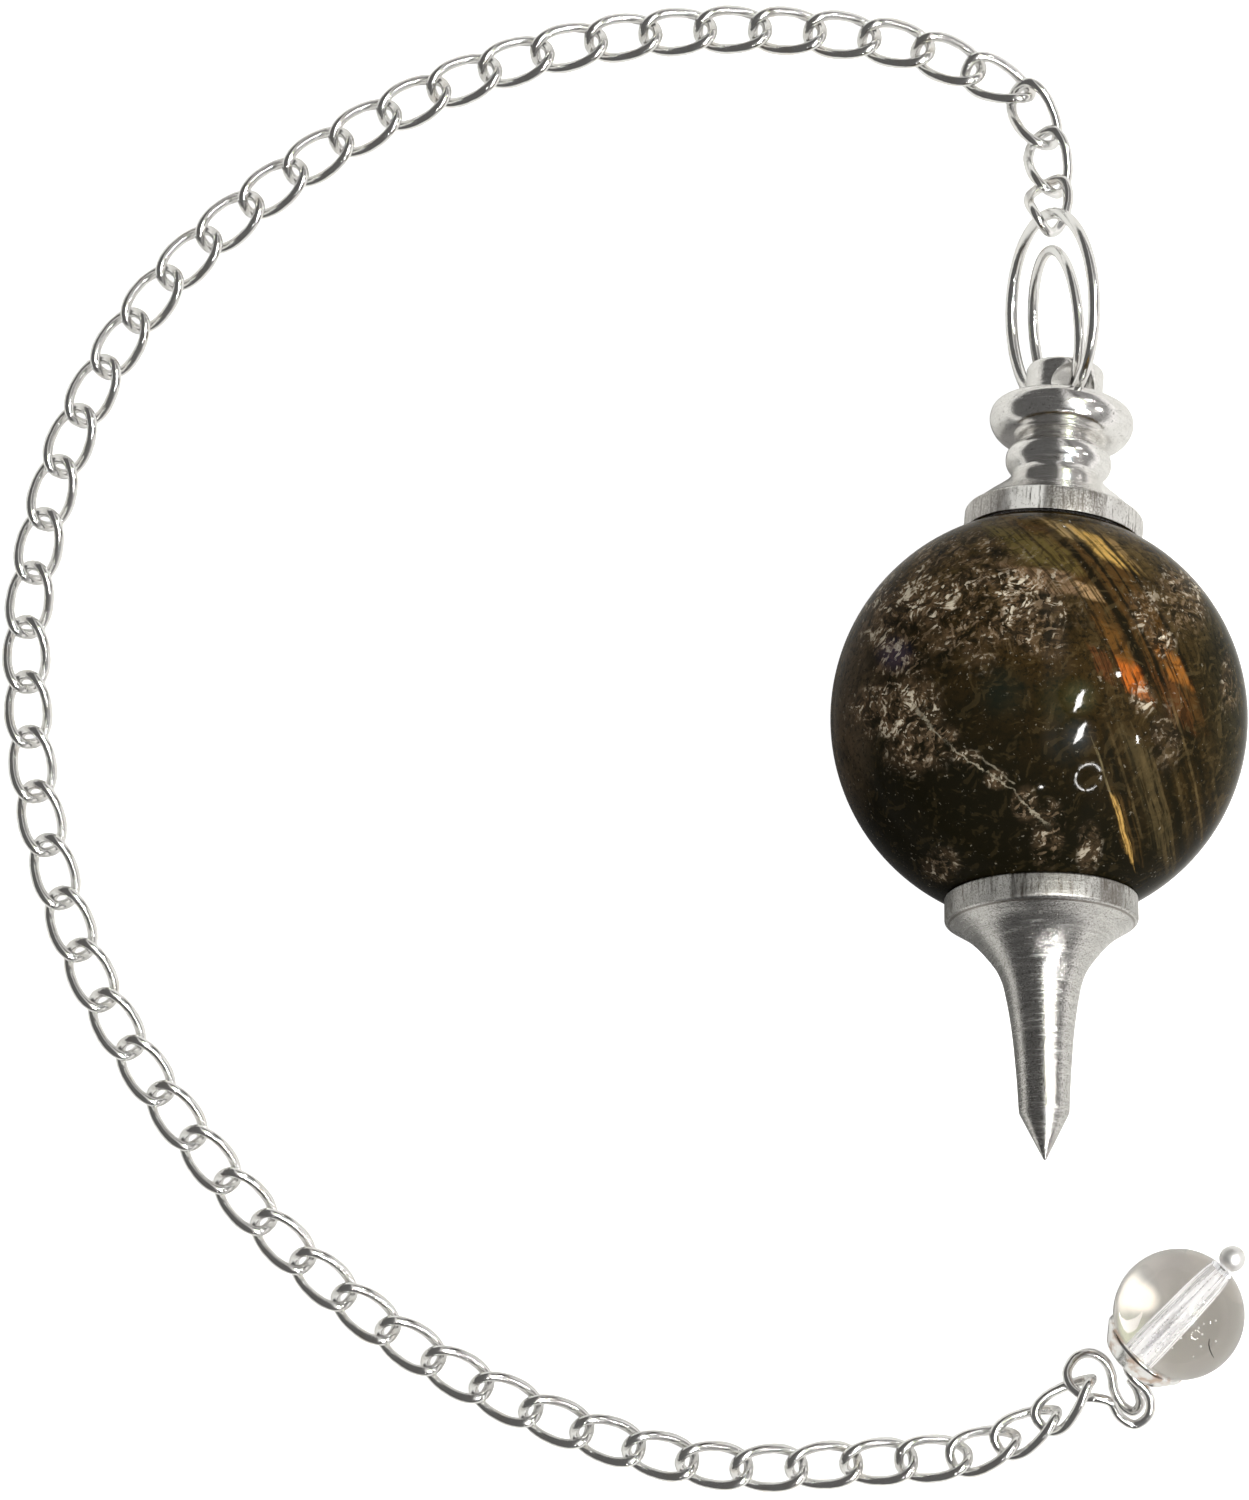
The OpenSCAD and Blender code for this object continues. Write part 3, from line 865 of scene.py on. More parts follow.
    def _crack(
        self, s: Sheet, colour: Paint, p: bpy.types.NodeSocket, x: Tone, y: Tone, fine: Tone
    ) -> bpy.types.NodeSocket:
        """Adds the healed crack that runs down towards the spike.

        Args:
            s: the material's sheet.
            colour: the colour so far.
            p: the place in the ball.
            x: its part to the right.
            y: its part towards the cap.
            fine: a fine tone that breaks the line.

        Returns:
            The new colour.
        """
        right, up = x - self.crack_start[0], y - self.crack_start[1]
        along = right * self.crack_line[0] + up * self.crack_line[1]
        off = up * self.crack_line[0] - right * self.crack_line[1]
        wander = (s.noise(p, 3.6, 2.0, 0.5) - 0.5) * 0.13 + (s.noise(p, 11.0, 4.0, 0.7) - 0.5) * 0.085
        gap = s.noise(p, 10.0, 3.0, 0.6)
        line = abs(off + wander) - gap.rise(0.50, 0.70, 0.0, 0.008)
        line = line.rise(0.001, 0.0075, 1.0, 0.0) * fine.rise(0.40, 0.52, 0.15, 1.0)
        twin = abs(off + wander * 0.4 - 0.035).rise(0.001, 0.007, 1.0, 0.0) * gap.rise(0.5, 0.6)
        reach = along.rise(-0.20, 0.02) * along.rise(0.66, 0.78, 1.0, 0.0)
        share = line.or_more(twin * 0.6) * reach * gap.rise(0.38, 0.50, 0.15, 1.0)
        return s.blend(colour, self.vein, share * 0.85)

    def _flashes(
        self, s: Sheet, colour: Paint, layer: Tone, y: Tone, grain: Tone, mottle: Tone, fine: Tone
    ) -> bpy.types.NodeSocket:
        """Adds the golden, peach and rust-coloured flashes.

        Args:
            s: the material's sheet.
            colour: the colour so far.
            layer: the place across the layers.
            y: the place along them.
            grain: a tone drawn out along the layers.
            mottle: a coarse tone.
            fine: a fine tone.

        Returns:
            The new colour.
        """
        hairs = s.noise(s.joined(layer * 95.0, y * 7.0, mottle * 3.0), 1.0, 2.0, 0.5)
        fray = (mottle - 0.5) * 0.9 + (grain - 0.5) * 0.5 + (fine - 0.5) * 0.7
        threads = (grain * 0.5 + hairs * 0.5).rise(0.40, 0.54, 0.10, 1.0)
        for row in reversed(self.flashes):
            across, up = (layer - row.layer) / row.half_layer, (y - row.height) / row.half_height
            reach = abs(across).or_more(abs(up + across * 0.35)) + fray
            colour = s.blend(colour, row.colour, reach.rise(0.70, 1.20, row.amount, 0.0) * threads)
        return colour

    def _tints(self, s: Sheet, colour: Paint, x: Tone, y: Tone) -> Paint:
        """Adds hints of blue and green: painted green and blue glows round the two lamp highlights near the
        middle, and hints of colour in the feldspar elsewhere.

        Args:
            s: the material's sheet.
            colour: the colour so far.
            x: the place to the right.
            y: the place towards the cap.

        Returns:
            The new colour.
        """
        for tint in self.tints:
            across, up = (x - tint.x) / tint.half, (y - tint.y) / tint.half
            share = s.maths(Maths.ROOT, across * across + up * up).rise(0.2, 1.3, tint.amount, 0.0)
            colour = s.blend(colour, tint.colour, share)
        return colour


@dataclass(frozen=True)
class TurnedFinish:
    """Turned metal with fine rings from the lathe, pits and scored rims, painted highlights on parts of the
    rim, and a painted shade line along the groove where the rim meets the body.
    """

    name: str
    rough: tuple[float, float]
    ring_depth: float
    groove: float
    lines: float
    light: Colour = (0.88, 0.87, 0.86)
    dull: Colour = (0.64, 0.63, 0.615)
    stain_and_shade: Colour = (0.16, 0.135, 0.115)
    pitted: tuple[float, float] = (0.66, 0.74)
    grit: float = 0.008
    painted_highlight_zones: tuple[Zone, ...] = ()
    dark_zones: tuple[Zone, ...] = ()

    @staticmethod
    def _zones(rows: Sequence[Zone], across: Tone) -> Tone:
        """Share of the rim's zones.

        Args:
            rows: each zone's middle and half width, as shares of the rim's radius, and its strength.
            across: the place across the rim.

        Returns:
            One inside a zone and zero outside.
        """
        total = across * 0.0
        for middle, half, amount in rows:
            total = total.or_more(abs(across - middle).rise(half * 0.85, half * 1.12, amount, 0.0))
        return total

    def build(self, place: Matrix, rim_radius: float) -> bpy.types.Material:
        """Makes the material.

        Args:
            place: matrix that carries +Z to the piece's line, in metres.
            rim_radius: radius of the piece's flange, in millimetres.

        Returns:
            The material.
        """
        s = Sheet(self.name)
        p = s.place(place.to_translation(), MM, place.to_3x3())
        x, y, h = s.parts(p)
        radius = s.maths(Maths.ROOT, x * x + y * y)
        angle = s.maths(Maths.ANGLE, y, x)
        shift = s.noise(p, 1.1, 2.0) * 0.05
        rings = s.noise(s.joined((h + shift) * 7.0, x * 0.55, y * 0.55), 1.0, 6.0, 0.78)
        coarse = s.noise(h + shift, 2.6, 3.0, 0.6)
        specks = s.noise(p, 7.0, 4.0, 0.7)
        patches = s.noise(p, 1.6, 3.0, 0.6)
        pits = s.noise(p, 15.0, 2.0, 0.5).rise(*self.pitted)

        rim = radius.rise(rim_radius - 0.12, rim_radius - 0.04)
        scores = s.noise(s.joined(angle * 22.0, h * 0.5, radius * 0.2), 1.4, 4.0, 0.8)
        smear = s.noise(s.joined(angle * 1.7, h * 0.5, 0.0), 1.2, 2.0, 0.6)
        wear_and_highlight = (rings * 0.55 + specks * 0.45).rise(0.32, 0.60)
        across = x / radius.or_more(0.5) + (scores - 0.5) * 0.10
        bright, dark = self._zones(self.painted_highlight_zones, across), self._zones(self.dark_zones, across)
        wear_and_highlight = wear_and_highlight * (1.0 - rim) + rim * scores.rise(0.38, 0.58) * smear.rise(0.38, 0.62, 0.0, 0.75)
        # Painted highlight: in the rim's highlight zones the scores are painted in the light colour.
        wear_and_highlight = wear_and_highlight.or_more(rim * bright * scores.rise(0.30, 0.48))
        colour = s.blend(self.dull, self.light, wear_and_highlight)
        marks = specks.rise(0.54, 0.64) * (patches + rim * 0.12).rise(0.47, 0.60)
        cuts = rim * scores.rise(0.37, 0.46, 0.85, 0.0)
        # Painted shade: a dark line along the groove where the rim meets the body.
        foot = abs(h - self.groove).rise(0.015, 0.055, 0.75, 0.0) * radius.rise(3.7, 4.0)
        grit = s.noise(p, 9.0, 4.0, 0.75).rise(0.42, 0.60)
        spots = (marks * 0.55).or_more(pits * 0.7).or_more(cuts * (1.0 - bright * 0.7)).or_more(foot)
        spots = spots.or_more(rim * dark * (grit.or_more(scores.rise(0.42, 0.52, 1.0, 0.0)) * 0.62 + 0.30))
        colour = s.blend(colour, self.stain_and_shade, spots)
        relief = s.bump(rings * (1.0 - rim) + scores * rim, self.ring_depth * MM, 0.6)
        relief = s.bump(coarse, 2.0 * self.ring_depth * MM, 0.4, relief)
        relief = s.bump(specks, self.grit * MM, 0.5, relief)
        gloss = (rings * 0.5 + patches * 0.5).rise(0.3, 0.7, *self.rough)
        where = s.noise(h, 0.7, 1.0).rise(0.46, 0.60, 0.25, 1.0)
        where = where * s.noise(p, 1.4, 3.0).rise(0.38, 0.60, 0.3, 1.0)
        turning = rings.rise(0.55, 0.64) * where * self.lines
        return s.finish(
            Base_Color=colour,
            # Painted highlight: the rim's highlight zones are made part diffuse so that they stay pale.
            Metallic=1.0 - rim * bright * scores.rise(0.34, 0.44),
            Roughness=(gloss + turning).or_more(rim * scores.rise(0.35, 0.6, 0.34, 0.50)),
            Normal=relief,
        )


@dataclass(frozen=True)
class PlatedFinish:
    """Bright silver plate on wire, with faint drawing marks and a warm breath where it is thin."""

    name: str = "silver_plate"
    bright: Colour = (0.93, 0.925, 0.915)
    warm: Colour = (0.84, 0.78, 0.70)
    reach: tuple[float, float, float] = (0.50, 0.75, 0.5)
    rough: tuple[float, float] = (0.10, 0.22)

    def build(self) -> bpy.types.Material:
        """Makes the material.

        Returns:
            The material.
        """
        s = Sheet(self.name)
        p = s.place(Vector((0, 0, 0)), MM)
        marks = s.noise(p, 3.2, 4.0, 0.65)
        breath = s.noise(p, 0.9, 3.0, 0.6)
        grain = s.noise(p, 14.0, 3.0, 0.6)
        return s.finish(
            Base_Color=s.blend(self.bright, self.warm, breath.rise(*self.reach[:2], 0.0, self.reach[2])),
            Metallic=1.0,
            Roughness=(marks * 0.7 + grain * 0.3).rise(0.3, 0.7, *self.rough),
            Normal=s.bump(grain, 0.004 * MM, 0.5, s.bump(marks, 0.02 * MM, 0.35)),
        )


@dataclass(frozen=True)
class GlassFinish:
    """Clear polished bead, faintly smoky, with tiny ripples."""

    tint: Colour = (0.93, 0.905, 0.875)
    smoke: Colour = (0.90, 0.865, 0.85)

    def build(self, centre: Vector) -> bpy.types.Material:
        """Makes the material.

        Args:
            centre: the bead's centre in metres.

        Returns:
            The material.
        """
        s = Sheet("clear_bead")
        p = s.place(centre, MM)
        cloud = s.noise(p, 0.5, 2.0)
        return s.finish(
            Base_Color=s.blend(self.tint, self.smoke, cloud.rise(0.4, 0.7)),
            Roughness=s.noise(p, 2.0, 3.0).rise(0.3, 0.7, 0.0, 0.02),
            IOR=1.50,
            Transmission_Weight=1.0,
            Normal=s.bump(s.noise(p, 1.2, 2.0), 0.01 * MM, 0.25),
        )


@dataclass(frozen=True)
class SpeckFinish:
    """Small thing caught in the bead, with an optional painted glow."""

    name: str
    colour: Colour
    rough: float
    painted_glow: float = 0.0

    def build(self) -> bpy.types.Material:
        """Makes the material.

        Returns:
            The material.
        """
        s = Sheet(self.name)
        tone = s.noise(s.place(Vector((0, 0, 0)), MM), 12.0, 2.0)
        darker = tuple(0.9 * part for part in self.colour)
        colour = s.blend(self.colour, darker, tone)
        return s.finish(
            # Painted glow: the emission makes the speck glow though it is no lamp.
            Base_Color=colour, Roughness=self.rough, Emission_Color=colour, Emission_Strength=self.painted_glow,
        )


@dataclass(frozen=True)
class FrostFinish:
    """Ground wall of the bead's hole, whitish and streaked along the drill, with a painted glow along its
    paler streaks.
    """

    frost: Colour = (0.94, 0.94, 0.95)
    ground: Colour = (0.82, 0.82, 0.85)

    def build(self, place: Matrix) -> bpy.types.Material:
        """Makes the material.

        Args:
            place: matrix that carries +Z to the hole's line, in metres.

        Returns:
            The material.
        """
        s = Sheet("drilled_wall")
        p = s.place(place.to_translation(), MM, place.to_3x3())
        x, y, h = s.parts(p)
        angle = s.maths(Maths.ANGLE, y, x)
        runs = s.noise(s.joined(angle * 2.2, h * 0.10, 0.0), 1.5, 3.0, 0.6)
        grains = s.noise(p, 9.0, 3.0, 0.6)
        return s.finish(
            Base_Color=s.blend(self.ground, self.frost, runs.rise(0.42, 0.58)),
            Roughness=grains.rise(0.3, 0.7, 0.20, 0.45),
            IOR=1.50,
            Transmission_Weight=runs.rise(0.42, 0.58, 0.85, 0.30),
            Normal=s.bump(grains, 0.02 * MM, 0.5),
            # Painted glow: the wall glows along its paler streaks, standing in for light scattered in the
            # frosted glass.
            Emission_Color=self.frost,
            Emission_Strength=runs.rise(0.44, 0.58, 0.10, 0.62),
        )


# The pendulum's sizes and places


@dataclass(frozen=True)
class Ball:
    """The polished stone ball."""

    diameter: float = 20.0
    x: float = 19.9
    y: float = 1.5
    finish: StoneFinish = StoneFinish()

    @property
    def radius(self) -> float:
        """Half the diameter, in millimetres."""
        return self.diameter / 2

    @property
    def centre(self) -> Vector:
        """The ball's centre, in millimetres."""
        return Vector((self.x, self.y, self.radius))

    def bowl(self, gap: float, start: float, edge: float) -> list[Row]:
        """Hollow that a glued piece has for the ball.

        Args:
            gap: gap to the stone, in millimetres.
            start: height of the piece's rim above the ball's centre.
            edge: largest radius of the hollow.

        Returns:
            Rows from the middle outwards.
        """
        inner = self.radius + gap
        wide = min(edge, math.sqrt(inner**2 - start**2))
        return [(wide * k / 16, math.sqrt(inner**2 - (wide * k / 16) ** 2)) for k in range(17)]

    def build(self) -> None:
        """Makes and dresses the ball."""
        form = bmesh.new()
        bmesh.ops.create_icosphere(form, subdivisions=6, radius=self.radius * MM)
        bmesh.ops.translate(form, verts=form.verts[:], vec=self.centre * MM)
        material = self.finish.build(self.centre * MM, self.radius * MM)
        Piece("polished_ball", Slot.STONE, "ball", [material]).show(form)


@dataclass(frozen=True)
class Spike:
    """The turned spike under the ball: flange, trumpet and sharp tip."""

    ball: Ball
    lift: float = 18.0
    lean: float = 0.7
    flange: float = 9.2
    length: float = 12.75
    seat: float = 0.9
    gap: float = 0.1
    steps: int = 144
    finish: TurnedFinish = TurnedFinish(
        "turned_spike", rough=(0.16, 0.27), ring_depth=0.009, groove=10.30, lines=0.30,
        light=(0.76, 0.75, 0.73), dull=(0.46, 0.455, 0.44), pitted=(0.53, 0.63), grit=0.026,
        painted_highlight_zones=((-0.60, 0.22, 0.35),), dark_zones=((0.66, 0.12, 0.9), (-0.05, 0.32, 0.5)),
    )
    rim: tuple[Corner, ...] = (
        (0.985, 0.000, 0.0), (1.000, 0.006, 0.05), (1.000, 0.091, 0.10), (0.955, 0.102, 0.0),
    )
    trumpet: tuple[Row, ...] = (
        (0.955, 0.102), (0.885, 0.118), (0.790, 0.141), (0.695, 0.172), (0.610, 0.206),
        (0.525, 0.245), (0.460, 0.282), (0.410, 0.328), (0.377, 0.382), (0.340, 0.461),
        (0.312, 0.544), (0.292, 0.627), (0.276, 0.706), (0.262, 0.804),
    )
    tip: tuple[Corner, ...] = (
        (0.262, 0.804, 0.0), (0.259, 0.822, 0.08), (0.030, 0.987, 0.06), (0.012, 0.998, 0.02),
        (0.0, 1.000, 0.0),
    )

    @property
    def line(self) -> Vector:
        """Direction from the ball to the tip."""
        up, side = math.radians(self.lift), math.radians(self.lean)
        return Vector((-math.cos(up) * math.sin(side), -math.cos(up) * math.cos(side), math.sin(up)))

    def section(self) -> list[Row]:
        """The spike's section, from the stone's side to the tip.

        Returns:
            Rows of radius and height, in millimetres.
        """
        wide, long, start = self.flange / 2, self.length, self.seat * self.ball.radius
        bowl = self.ball.bowl(self.gap, start, self.rim[0][0] * wide)
        rows = [(r * wide, start + h * long, c) for r, h, c in self.rim]
        rim = rounded([(*bowl[-1], 0.0), *rows[1:]])
        curve = smooth_rows([(r * wide, start + h * long) for r, h in self.trumpet])
        tip = rounded([(r * wide, start + h * long, c) for r, h, c in self.tip])
        return [*bowl, *rim[1:], *curve[1:], *tip[1:]]

    def build(self) -> None:
        """Makes and dresses the spike."""
        form = turned_mesh(self.section(), self.steps)
        place = carry(self.line, self.ball.centre * MM)
        bmesh.ops.transform(form, matrix=place, verts=form.verts[:])
        metal = self.finish.build(place, self.flange / 2)
        Piece("turned_spike", Slot.TURNED_METAL, "point", [metal], 50.0).show(form)


@dataclass(frozen=True)
class Cap:
    """The turned cap: flange, cone, bead line, fat rounded lip and drilled knob."""

    ball: Ball
    lift: float = 18.0
    lean: float = 6.0
    flange: float = 8.7
    length: float = 8.9
    seat: float = 0.93
    gap: float = 0.1
    knob: float = 3.8
    knob_start: float = 0.706
    hole: float = 2.2
    hole_place: float = 0.839
    hole_turn: float = 10.0
    drill_past: float = 0.15
    steps: int = 144
    finish: TurnedFinish = TurnedFinish(
        "turned_cap", rough=(0.10, 0.20), ring_depth=0.005, groove=10.48, lines=0.16,
        light=(0.95, 0.94, 0.925), dull=(0.74, 0.725, 0.705),
        painted_highlight_zones=((-0.40, 0.18, 0.80),), dark_zones=((0.14, 0.34, 0.9), (-0.80, 0.16, 0.7)),
    )
    rim: tuple[Corner, ...] = (
        (1.000, -0.014, 0.05), (1.000, 0.118, 0.10), (0.943, 0.137, 0.0),
    )
    cone: tuple[Row, ...] = (
        (0.943, 0.137), (0.874, 0.166), (0.782, 0.206), (0.690, 0.243), (0.609, 0.278), (0.552, 0.309),
        (0.520, 0.337), (0.506, 0.360),
    )
    bead: tuple[Row, ...] = (
        (0.506, 0.360), (0.529, 0.373), (0.568, 0.396), (0.591, 0.421), (0.595, 0.447), (0.586, 0.474),
        (0.556, 0.500), (0.506, 0.520), (0.448, 0.533), (0.428, 0.542),
    )
    lip: tuple[Row, ...] = (
        (0.428, 0.542), (0.455, 0.548), (0.540, 0.553), (0.621, 0.562), (0.690, 0.579), (0.747, 0.604),
        (0.786, 0.635), (0.807, 0.665), (0.811, 0.691), (0.800, 0.721), (0.770, 0.746), (0.726, 0.762),
        (0.690, 0.764), (0.632, 0.755), (0.540, 0.730), (0.471, 0.712),
    )

    @property
    def line(self) -> Vector:
        """Direction from the ball to the knob."""
        up, side = math.radians(self.lift), math.radians(self.lean)
        return Vector((math.cos(up) * math.sin(side), math.cos(up) * math.cos(side), -math.sin(up)))

    @property
    def turn(self) -> Matrix:
        """Matrix that lays the cap on its line, turned as the solid is."""
        spin = Matrix.Rotation(math.radians(-self.lean), 4, "Z") @ Matrix.Rotation(
            math.radians(-90 - self.lift), 4, "X"
        )
        return Matrix.Translation(self.ball.centre * MM) @ spin

    @property
    def start(self) -> float:
        """Height of the flange's rim above the ball's centre, in millimetres."""
        return self.seat * self.ball.radius

    @property
    def hole_centre(self) -> Vector:
        """Middle of the knob's hole, in millimetres."""
        return self.ball.centre + (self.start + self.hole_place * self.length) * self.line

    def section(self) -> list[Row]:
        """The cap's section, from the stone's side to the knob's top.

        Returns:
            Rows of radius and height, in millimetres.
        """
        wide, long, start = self.flange / 2, self.length, self.start
        bowl = self.ball.bowl(self.gap, start, 0.984 * wide)
        rim = rounded([(*bowl[-1], 0.0), *[(r * wide, start + h * long, c) for r, h, c in self.rim]])
        curves = [
            smooth_rows([(r * wide, start + h * long) for r, h in rows])
            for rows in (self.cone, self.bead, self.lip)
        ]
        knob, top, foot = self.knob / 2, start + long, start + self.knob_start * long
        head = rounded([(*curves[-1][-1], 0.0), (knob, foot, 0.05), (knob, top, 0.30), (0.0, top, 0.0)])
        return [*bowl, *rim[1:], *curves[0][1:], *curves[1][1:], *curves[2][1:], *head[1:]]

    def build(self) -> None:
        """Makes, drills and dresses the cap."""
        form = turned_mesh(self.section(), self.steps)
        drill = bmesh.new()
        bmesh.ops.create_cone(
            drill, cap_ends=True, segments=64, radius1=self.hole / 2 * MM, radius2=self.hole / 2 * MM,
            depth=(self.knob + 2 * self.drill_past) * MM,
        )
        middle = Vector((0, 0, (self.start + self.hole_place * self.length) * MM))
        across = Matrix.Rotation(math.radians(self.hole_turn), 4, "Z") @ Matrix.Rotation(math.pi / 2, 4, "X")
        bmesh.ops.transform(drill, matrix=Matrix.Translation(middle) @ across, verts=drill.verts[:])
        form = drilled(form, drill, 0.07 * MM)
        bmesh.ops.transform(form, matrix=self.turn, verts=form.verts[:])
        metal = self.finish.build(self.turn, self.flange / 2)
        Piece("turned_cap", Slot.TURNED_METAL, "cap", [metal], 50.0).show(form)


@dataclass(frozen=True)
class Lie:
    """How a ring lies: three angles in degrees, and the wire's place in the hole.

    The turn is seen in plan, and the rise is the angle up to the ring's middle. The wire's place is
    given inwards along the ring and aside along its normal, as shares of the slack in the hole.
    """

    turn: float
    lean: float
    rise: float
    inward: float
    aside: float


@dataclass(frozen=True)
class JumpRing:
    """A wire ring that hangs in the knob's hole."""

    name: str
    node: str
    cap: Cap
    diameter: float
    wire: float
    lie: Lie

    @property
    def normal(self) -> Vector:
        """Direction square to the ring."""
        turn, lean = math.radians(self.lie.turn), math.radians(self.lie.lean)
        return Vector((math.cos(lean) * math.cos(turn), math.cos(lean) * math.sin(turn), math.sin(lean)))

    @property
    def level(self) -> Vector:
        """Level direction in the ring's plane."""
        return Vector((0, 0, 1)).cross(self.normal).normalized()

    @property
    def up(self) -> Vector:
        """Rising direction in the ring's plane."""
        return self.normal.cross(self.level)

    @property
    def reach(self) -> float:
        """Radius of the wire's middle line, in millimetres."""
        return (self.diameter - self.wire) / 2

    def spoke(self, angle: float) -> Vector:
        """Direction from the ring's middle at an angle up from the level, in degrees."""
        tip = math.radians(angle)
        return math.cos(tip) * self.level + math.sin(tip) * self.up

    @property
    def centre(self) -> Vector:
        """The ring's middle, in millimetres.

        Returns:
            The place, worked out from the knob's hole and the lie.
        """
        slack = (self.cap.hole - self.wire) / 2
        out = (self.reach - self.lie.inward * slack) * self.spoke(self.lie.rise)
        return self.cap.hole_centre + out + self.lie.aside * slack * self.normal

    def hook(self, angle: float) -> Vector:
        """Point of the wire's middle line at an angle up from the level, in millimetres."""
        return self.centre + self.reach * self.spoke(angle)

    def build(self, material: bpy.types.Material) -> None:
        """Makes and dresses the ring.

        Args:
            material: the wire's material.
        """
        form = bmesh.new()
        wire = bmesh.ops.create_circle(form, segments=20, radius=self.wire / 2 * MM)["verts"]
        bmesh.ops.rotate(form, verts=wire, cent=(0, 0, 0), matrix=Matrix.Rotation(math.pi / 2, 3, "X"))
        bmesh.ops.translate(form, verts=wire, vec=(self.reach * MM, 0, 0))
        bmesh.ops.spin(
            form, geom=form.verts[:] + form.edges[:], cent=(0, 0, 0), axis=(0, 0, 1), dvec=(0, 0, 0),
            angle=2 * math.pi, steps=160, use_merge=True, use_duplicate=False,
        )
        bmesh.ops.remove_doubles(form, verts=form.verts[:], dist=1e-7)
        bmesh.ops.recalc_face_normals(form, faces=form.faces[:])
        bmesh.ops.transform(form, matrix=carry(self.normal, self.centre * MM), verts=form.verts[:])
        Piece(self.name, Slot.PLATED_WIRE, self.node, [material]).show(form)


@dataclass(frozen=True)
class EndBead:
    """The clear drilled bead, its dished cup and its headed pin with a coiled eye."""

    diameter: float = 6.5
    x: float = 27.4
    y: float = -27.9
    bore: float = 1.1
    turn: float = 49.0
    lift: float = 17.0
    gap: float = 0.1
    cup: float = 4.7
    cup_wall: float = 0.22
    cup_rise: float = 0.31
    wire: float = 0.5
    head: float = 1.3
    eye: float = 2.3
    hook_row: int = 10
    eye_rows: tuple[tuple[float, float, float], ...] = (
        (-0.04, -0.10, -0.03), (0.12, -0.33, -0.06), (0.34, -0.53, -0.08), (0.46, -0.81, -0.12),
        (0.40, -1.13, -0.20), (0.12, -1.32, -0.29), (-0.20, -1.14, -0.25), (-0.41, -0.82, -0.12),
        (-0.70, -0.72, -0.07), (-0.94, -0.70, -0.10), (-1.12, -0.60, -0.18), (-1.28, -0.43, -0.27),
        (-1.32, -0.16, -0.38), (-1.10, 0.13, -0.52), (-0.77, 0.18, -0.63), (-0.48, 0.01, -0.70),
        (-0.33, -0.29, -0.75), (-0.27, -0.64, -0.73), (-0.09, -0.96, -0.70), (0.14, -1.08, -0.64),
        (0.28, -0.90, -0.55), (0.21, -0.59, -0.51), (0.04, -0.35, -0.49),
    )
    head_rows: tuple[Row, ...] = (
        (0.0, 1.000), (0.10, 1.000), (0.36, 0.960), (0.68, 0.850), (0.91, 0.680), (1.00, 0.480),
        (0.91, 0.280), (0.68, 0.120), (0.38, 0.020),
    )
    bubbles: tuple[tuple[float, float, float], ...] = (
        (0.62, -0.30, 0.055), (0.86, -0.12, 0.045), (0.80, -0.62, 0.055), (1.46, 0.00, 0.055),
        (1.48, -1.00, 0.055), (0.75, -1.22, 0.060), (-0.60, -1.30, 0.045), (-0.20, -0.80, 0.045),
        (0.42, -1.72, 0.040),
    )
    bubble_depth: float = 0.25
    hair: tuple[Row, ...] = ((1.16, -0.86), (1.14, -1.12), (1.20, -1.38), (1.32, -1.64), (1.46, -1.86))
    hair_shares: tuple[float, ...] = (0.5, 0.9, 1.0, 0.9, 0.4)
    hair_wire: float = 0.070
    hair_depth: float = 0.12
    polish: float = 0.004
    broken_edge: float = 0.06
    arc_steps: int = 48
    wall_steps: int = 12

    @property
    def radius(self) -> float:
        """Half the bead's diameter, in millimetres."""
        return self.diameter / 2

    @property
    def centre(self) -> Vector:
        """The bead's centre, in millimetres."""
        return Vector((self.x, self.y, self.radius))

    @property
    def line(self) -> Vector:
        """Direction of the hole, towards the headed end."""
        up, plan = math.radians(self.lift), math.radians(self.turn)
        return Vector((math.cos(up) * math.cos(plan), math.cos(up) * math.sin(plan), math.sin(up)))

    @property
    def cup_floor(self) -> float:
        """Distance from the bead's centre to the cup's floor, in millimetres."""
        return self.radius + self.gap

    @property
    def eye_start(self) -> Vector:
        """Place where the wire leaves the cup, in millimetres."""
        return self.centre - (self.cup_floor + self.cup_wall + self.gap) * self.line

    @property
    def eye_hook(self) -> Vector:
        """Place on the eye that takes the last link, in millimetres."""
        return self.eye_start + self.eye * Vector(self.eye_rows[self.hook_row])

    @property
    def place(self) -> Matrix:
        """Matrix that lays the bead's parts along the hole."""
        return carry(self.line, self.centre * MM)

    def build(self, plate: bpy.types.Material) -> None:
        """Makes and dresses the bead, the cup and the pin.

        Args:
            plate: the wire's material.
        """
        self._bead()
        self._cup(PlatedFinish("cup_plate", warm=(0.58, 0.42, 0.32), reach=(0.44, 0.60, 0.85)).build())
        self._pin(plate)

    def _shell(self) -> bmesh.types.BMesh:
        """Turns the drilled ball of glass and marks the hole's wall.

        Returns:
            The form, in metres, with the hole along Z.
        """
        radius, bore, edge = self.radius - self.polish, self.bore / 2, self.broken_edge
        mouth = math.sqrt(radius**2 - (bore + edge) ** 2)
        first = math.asin((bore + edge) / radius)
        rows: list[Row] = [(bore, -mouth + edge)]
        for k in range(self.arc_steps + 1):
            angle = first + (math.pi - 2 * first) * k / self.arc_steps
            rows.append((radius * math.sin(angle), -radius * math.cos(angle)))
        rows.append((bore, mouth - edge))
        deep, steps = 2 * mouth - 2 * edge, self.wall_steps
        rows += [(bore, mouth - edge - deep * k / steps) for k in range(1, steps)]
        form = turned_mesh(rows, 96, closed=True)
        for face in form.faces:
            middle = face.calc_center_median()
            inside = math.hypot(middle.x, middle.y) < (bore + edge * 0.8) * MM
            face.material_index = (BeadPart.WALL if inside else BeadPart.GLASS).value
        return form

    @staticmethod
    def _mark(form: bmesh.types.BMesh, start: int, part: BeadPart) -> None:
        """Gives the newest faces the material of a part of the bead.

        Args:
            form: the bead's form.
            start: how many faces it had before them.
            part: what they are.
        """
        form.faces.ensure_lookup_table()
        for face in form.faces[start:]:
            face.material_index = part.value

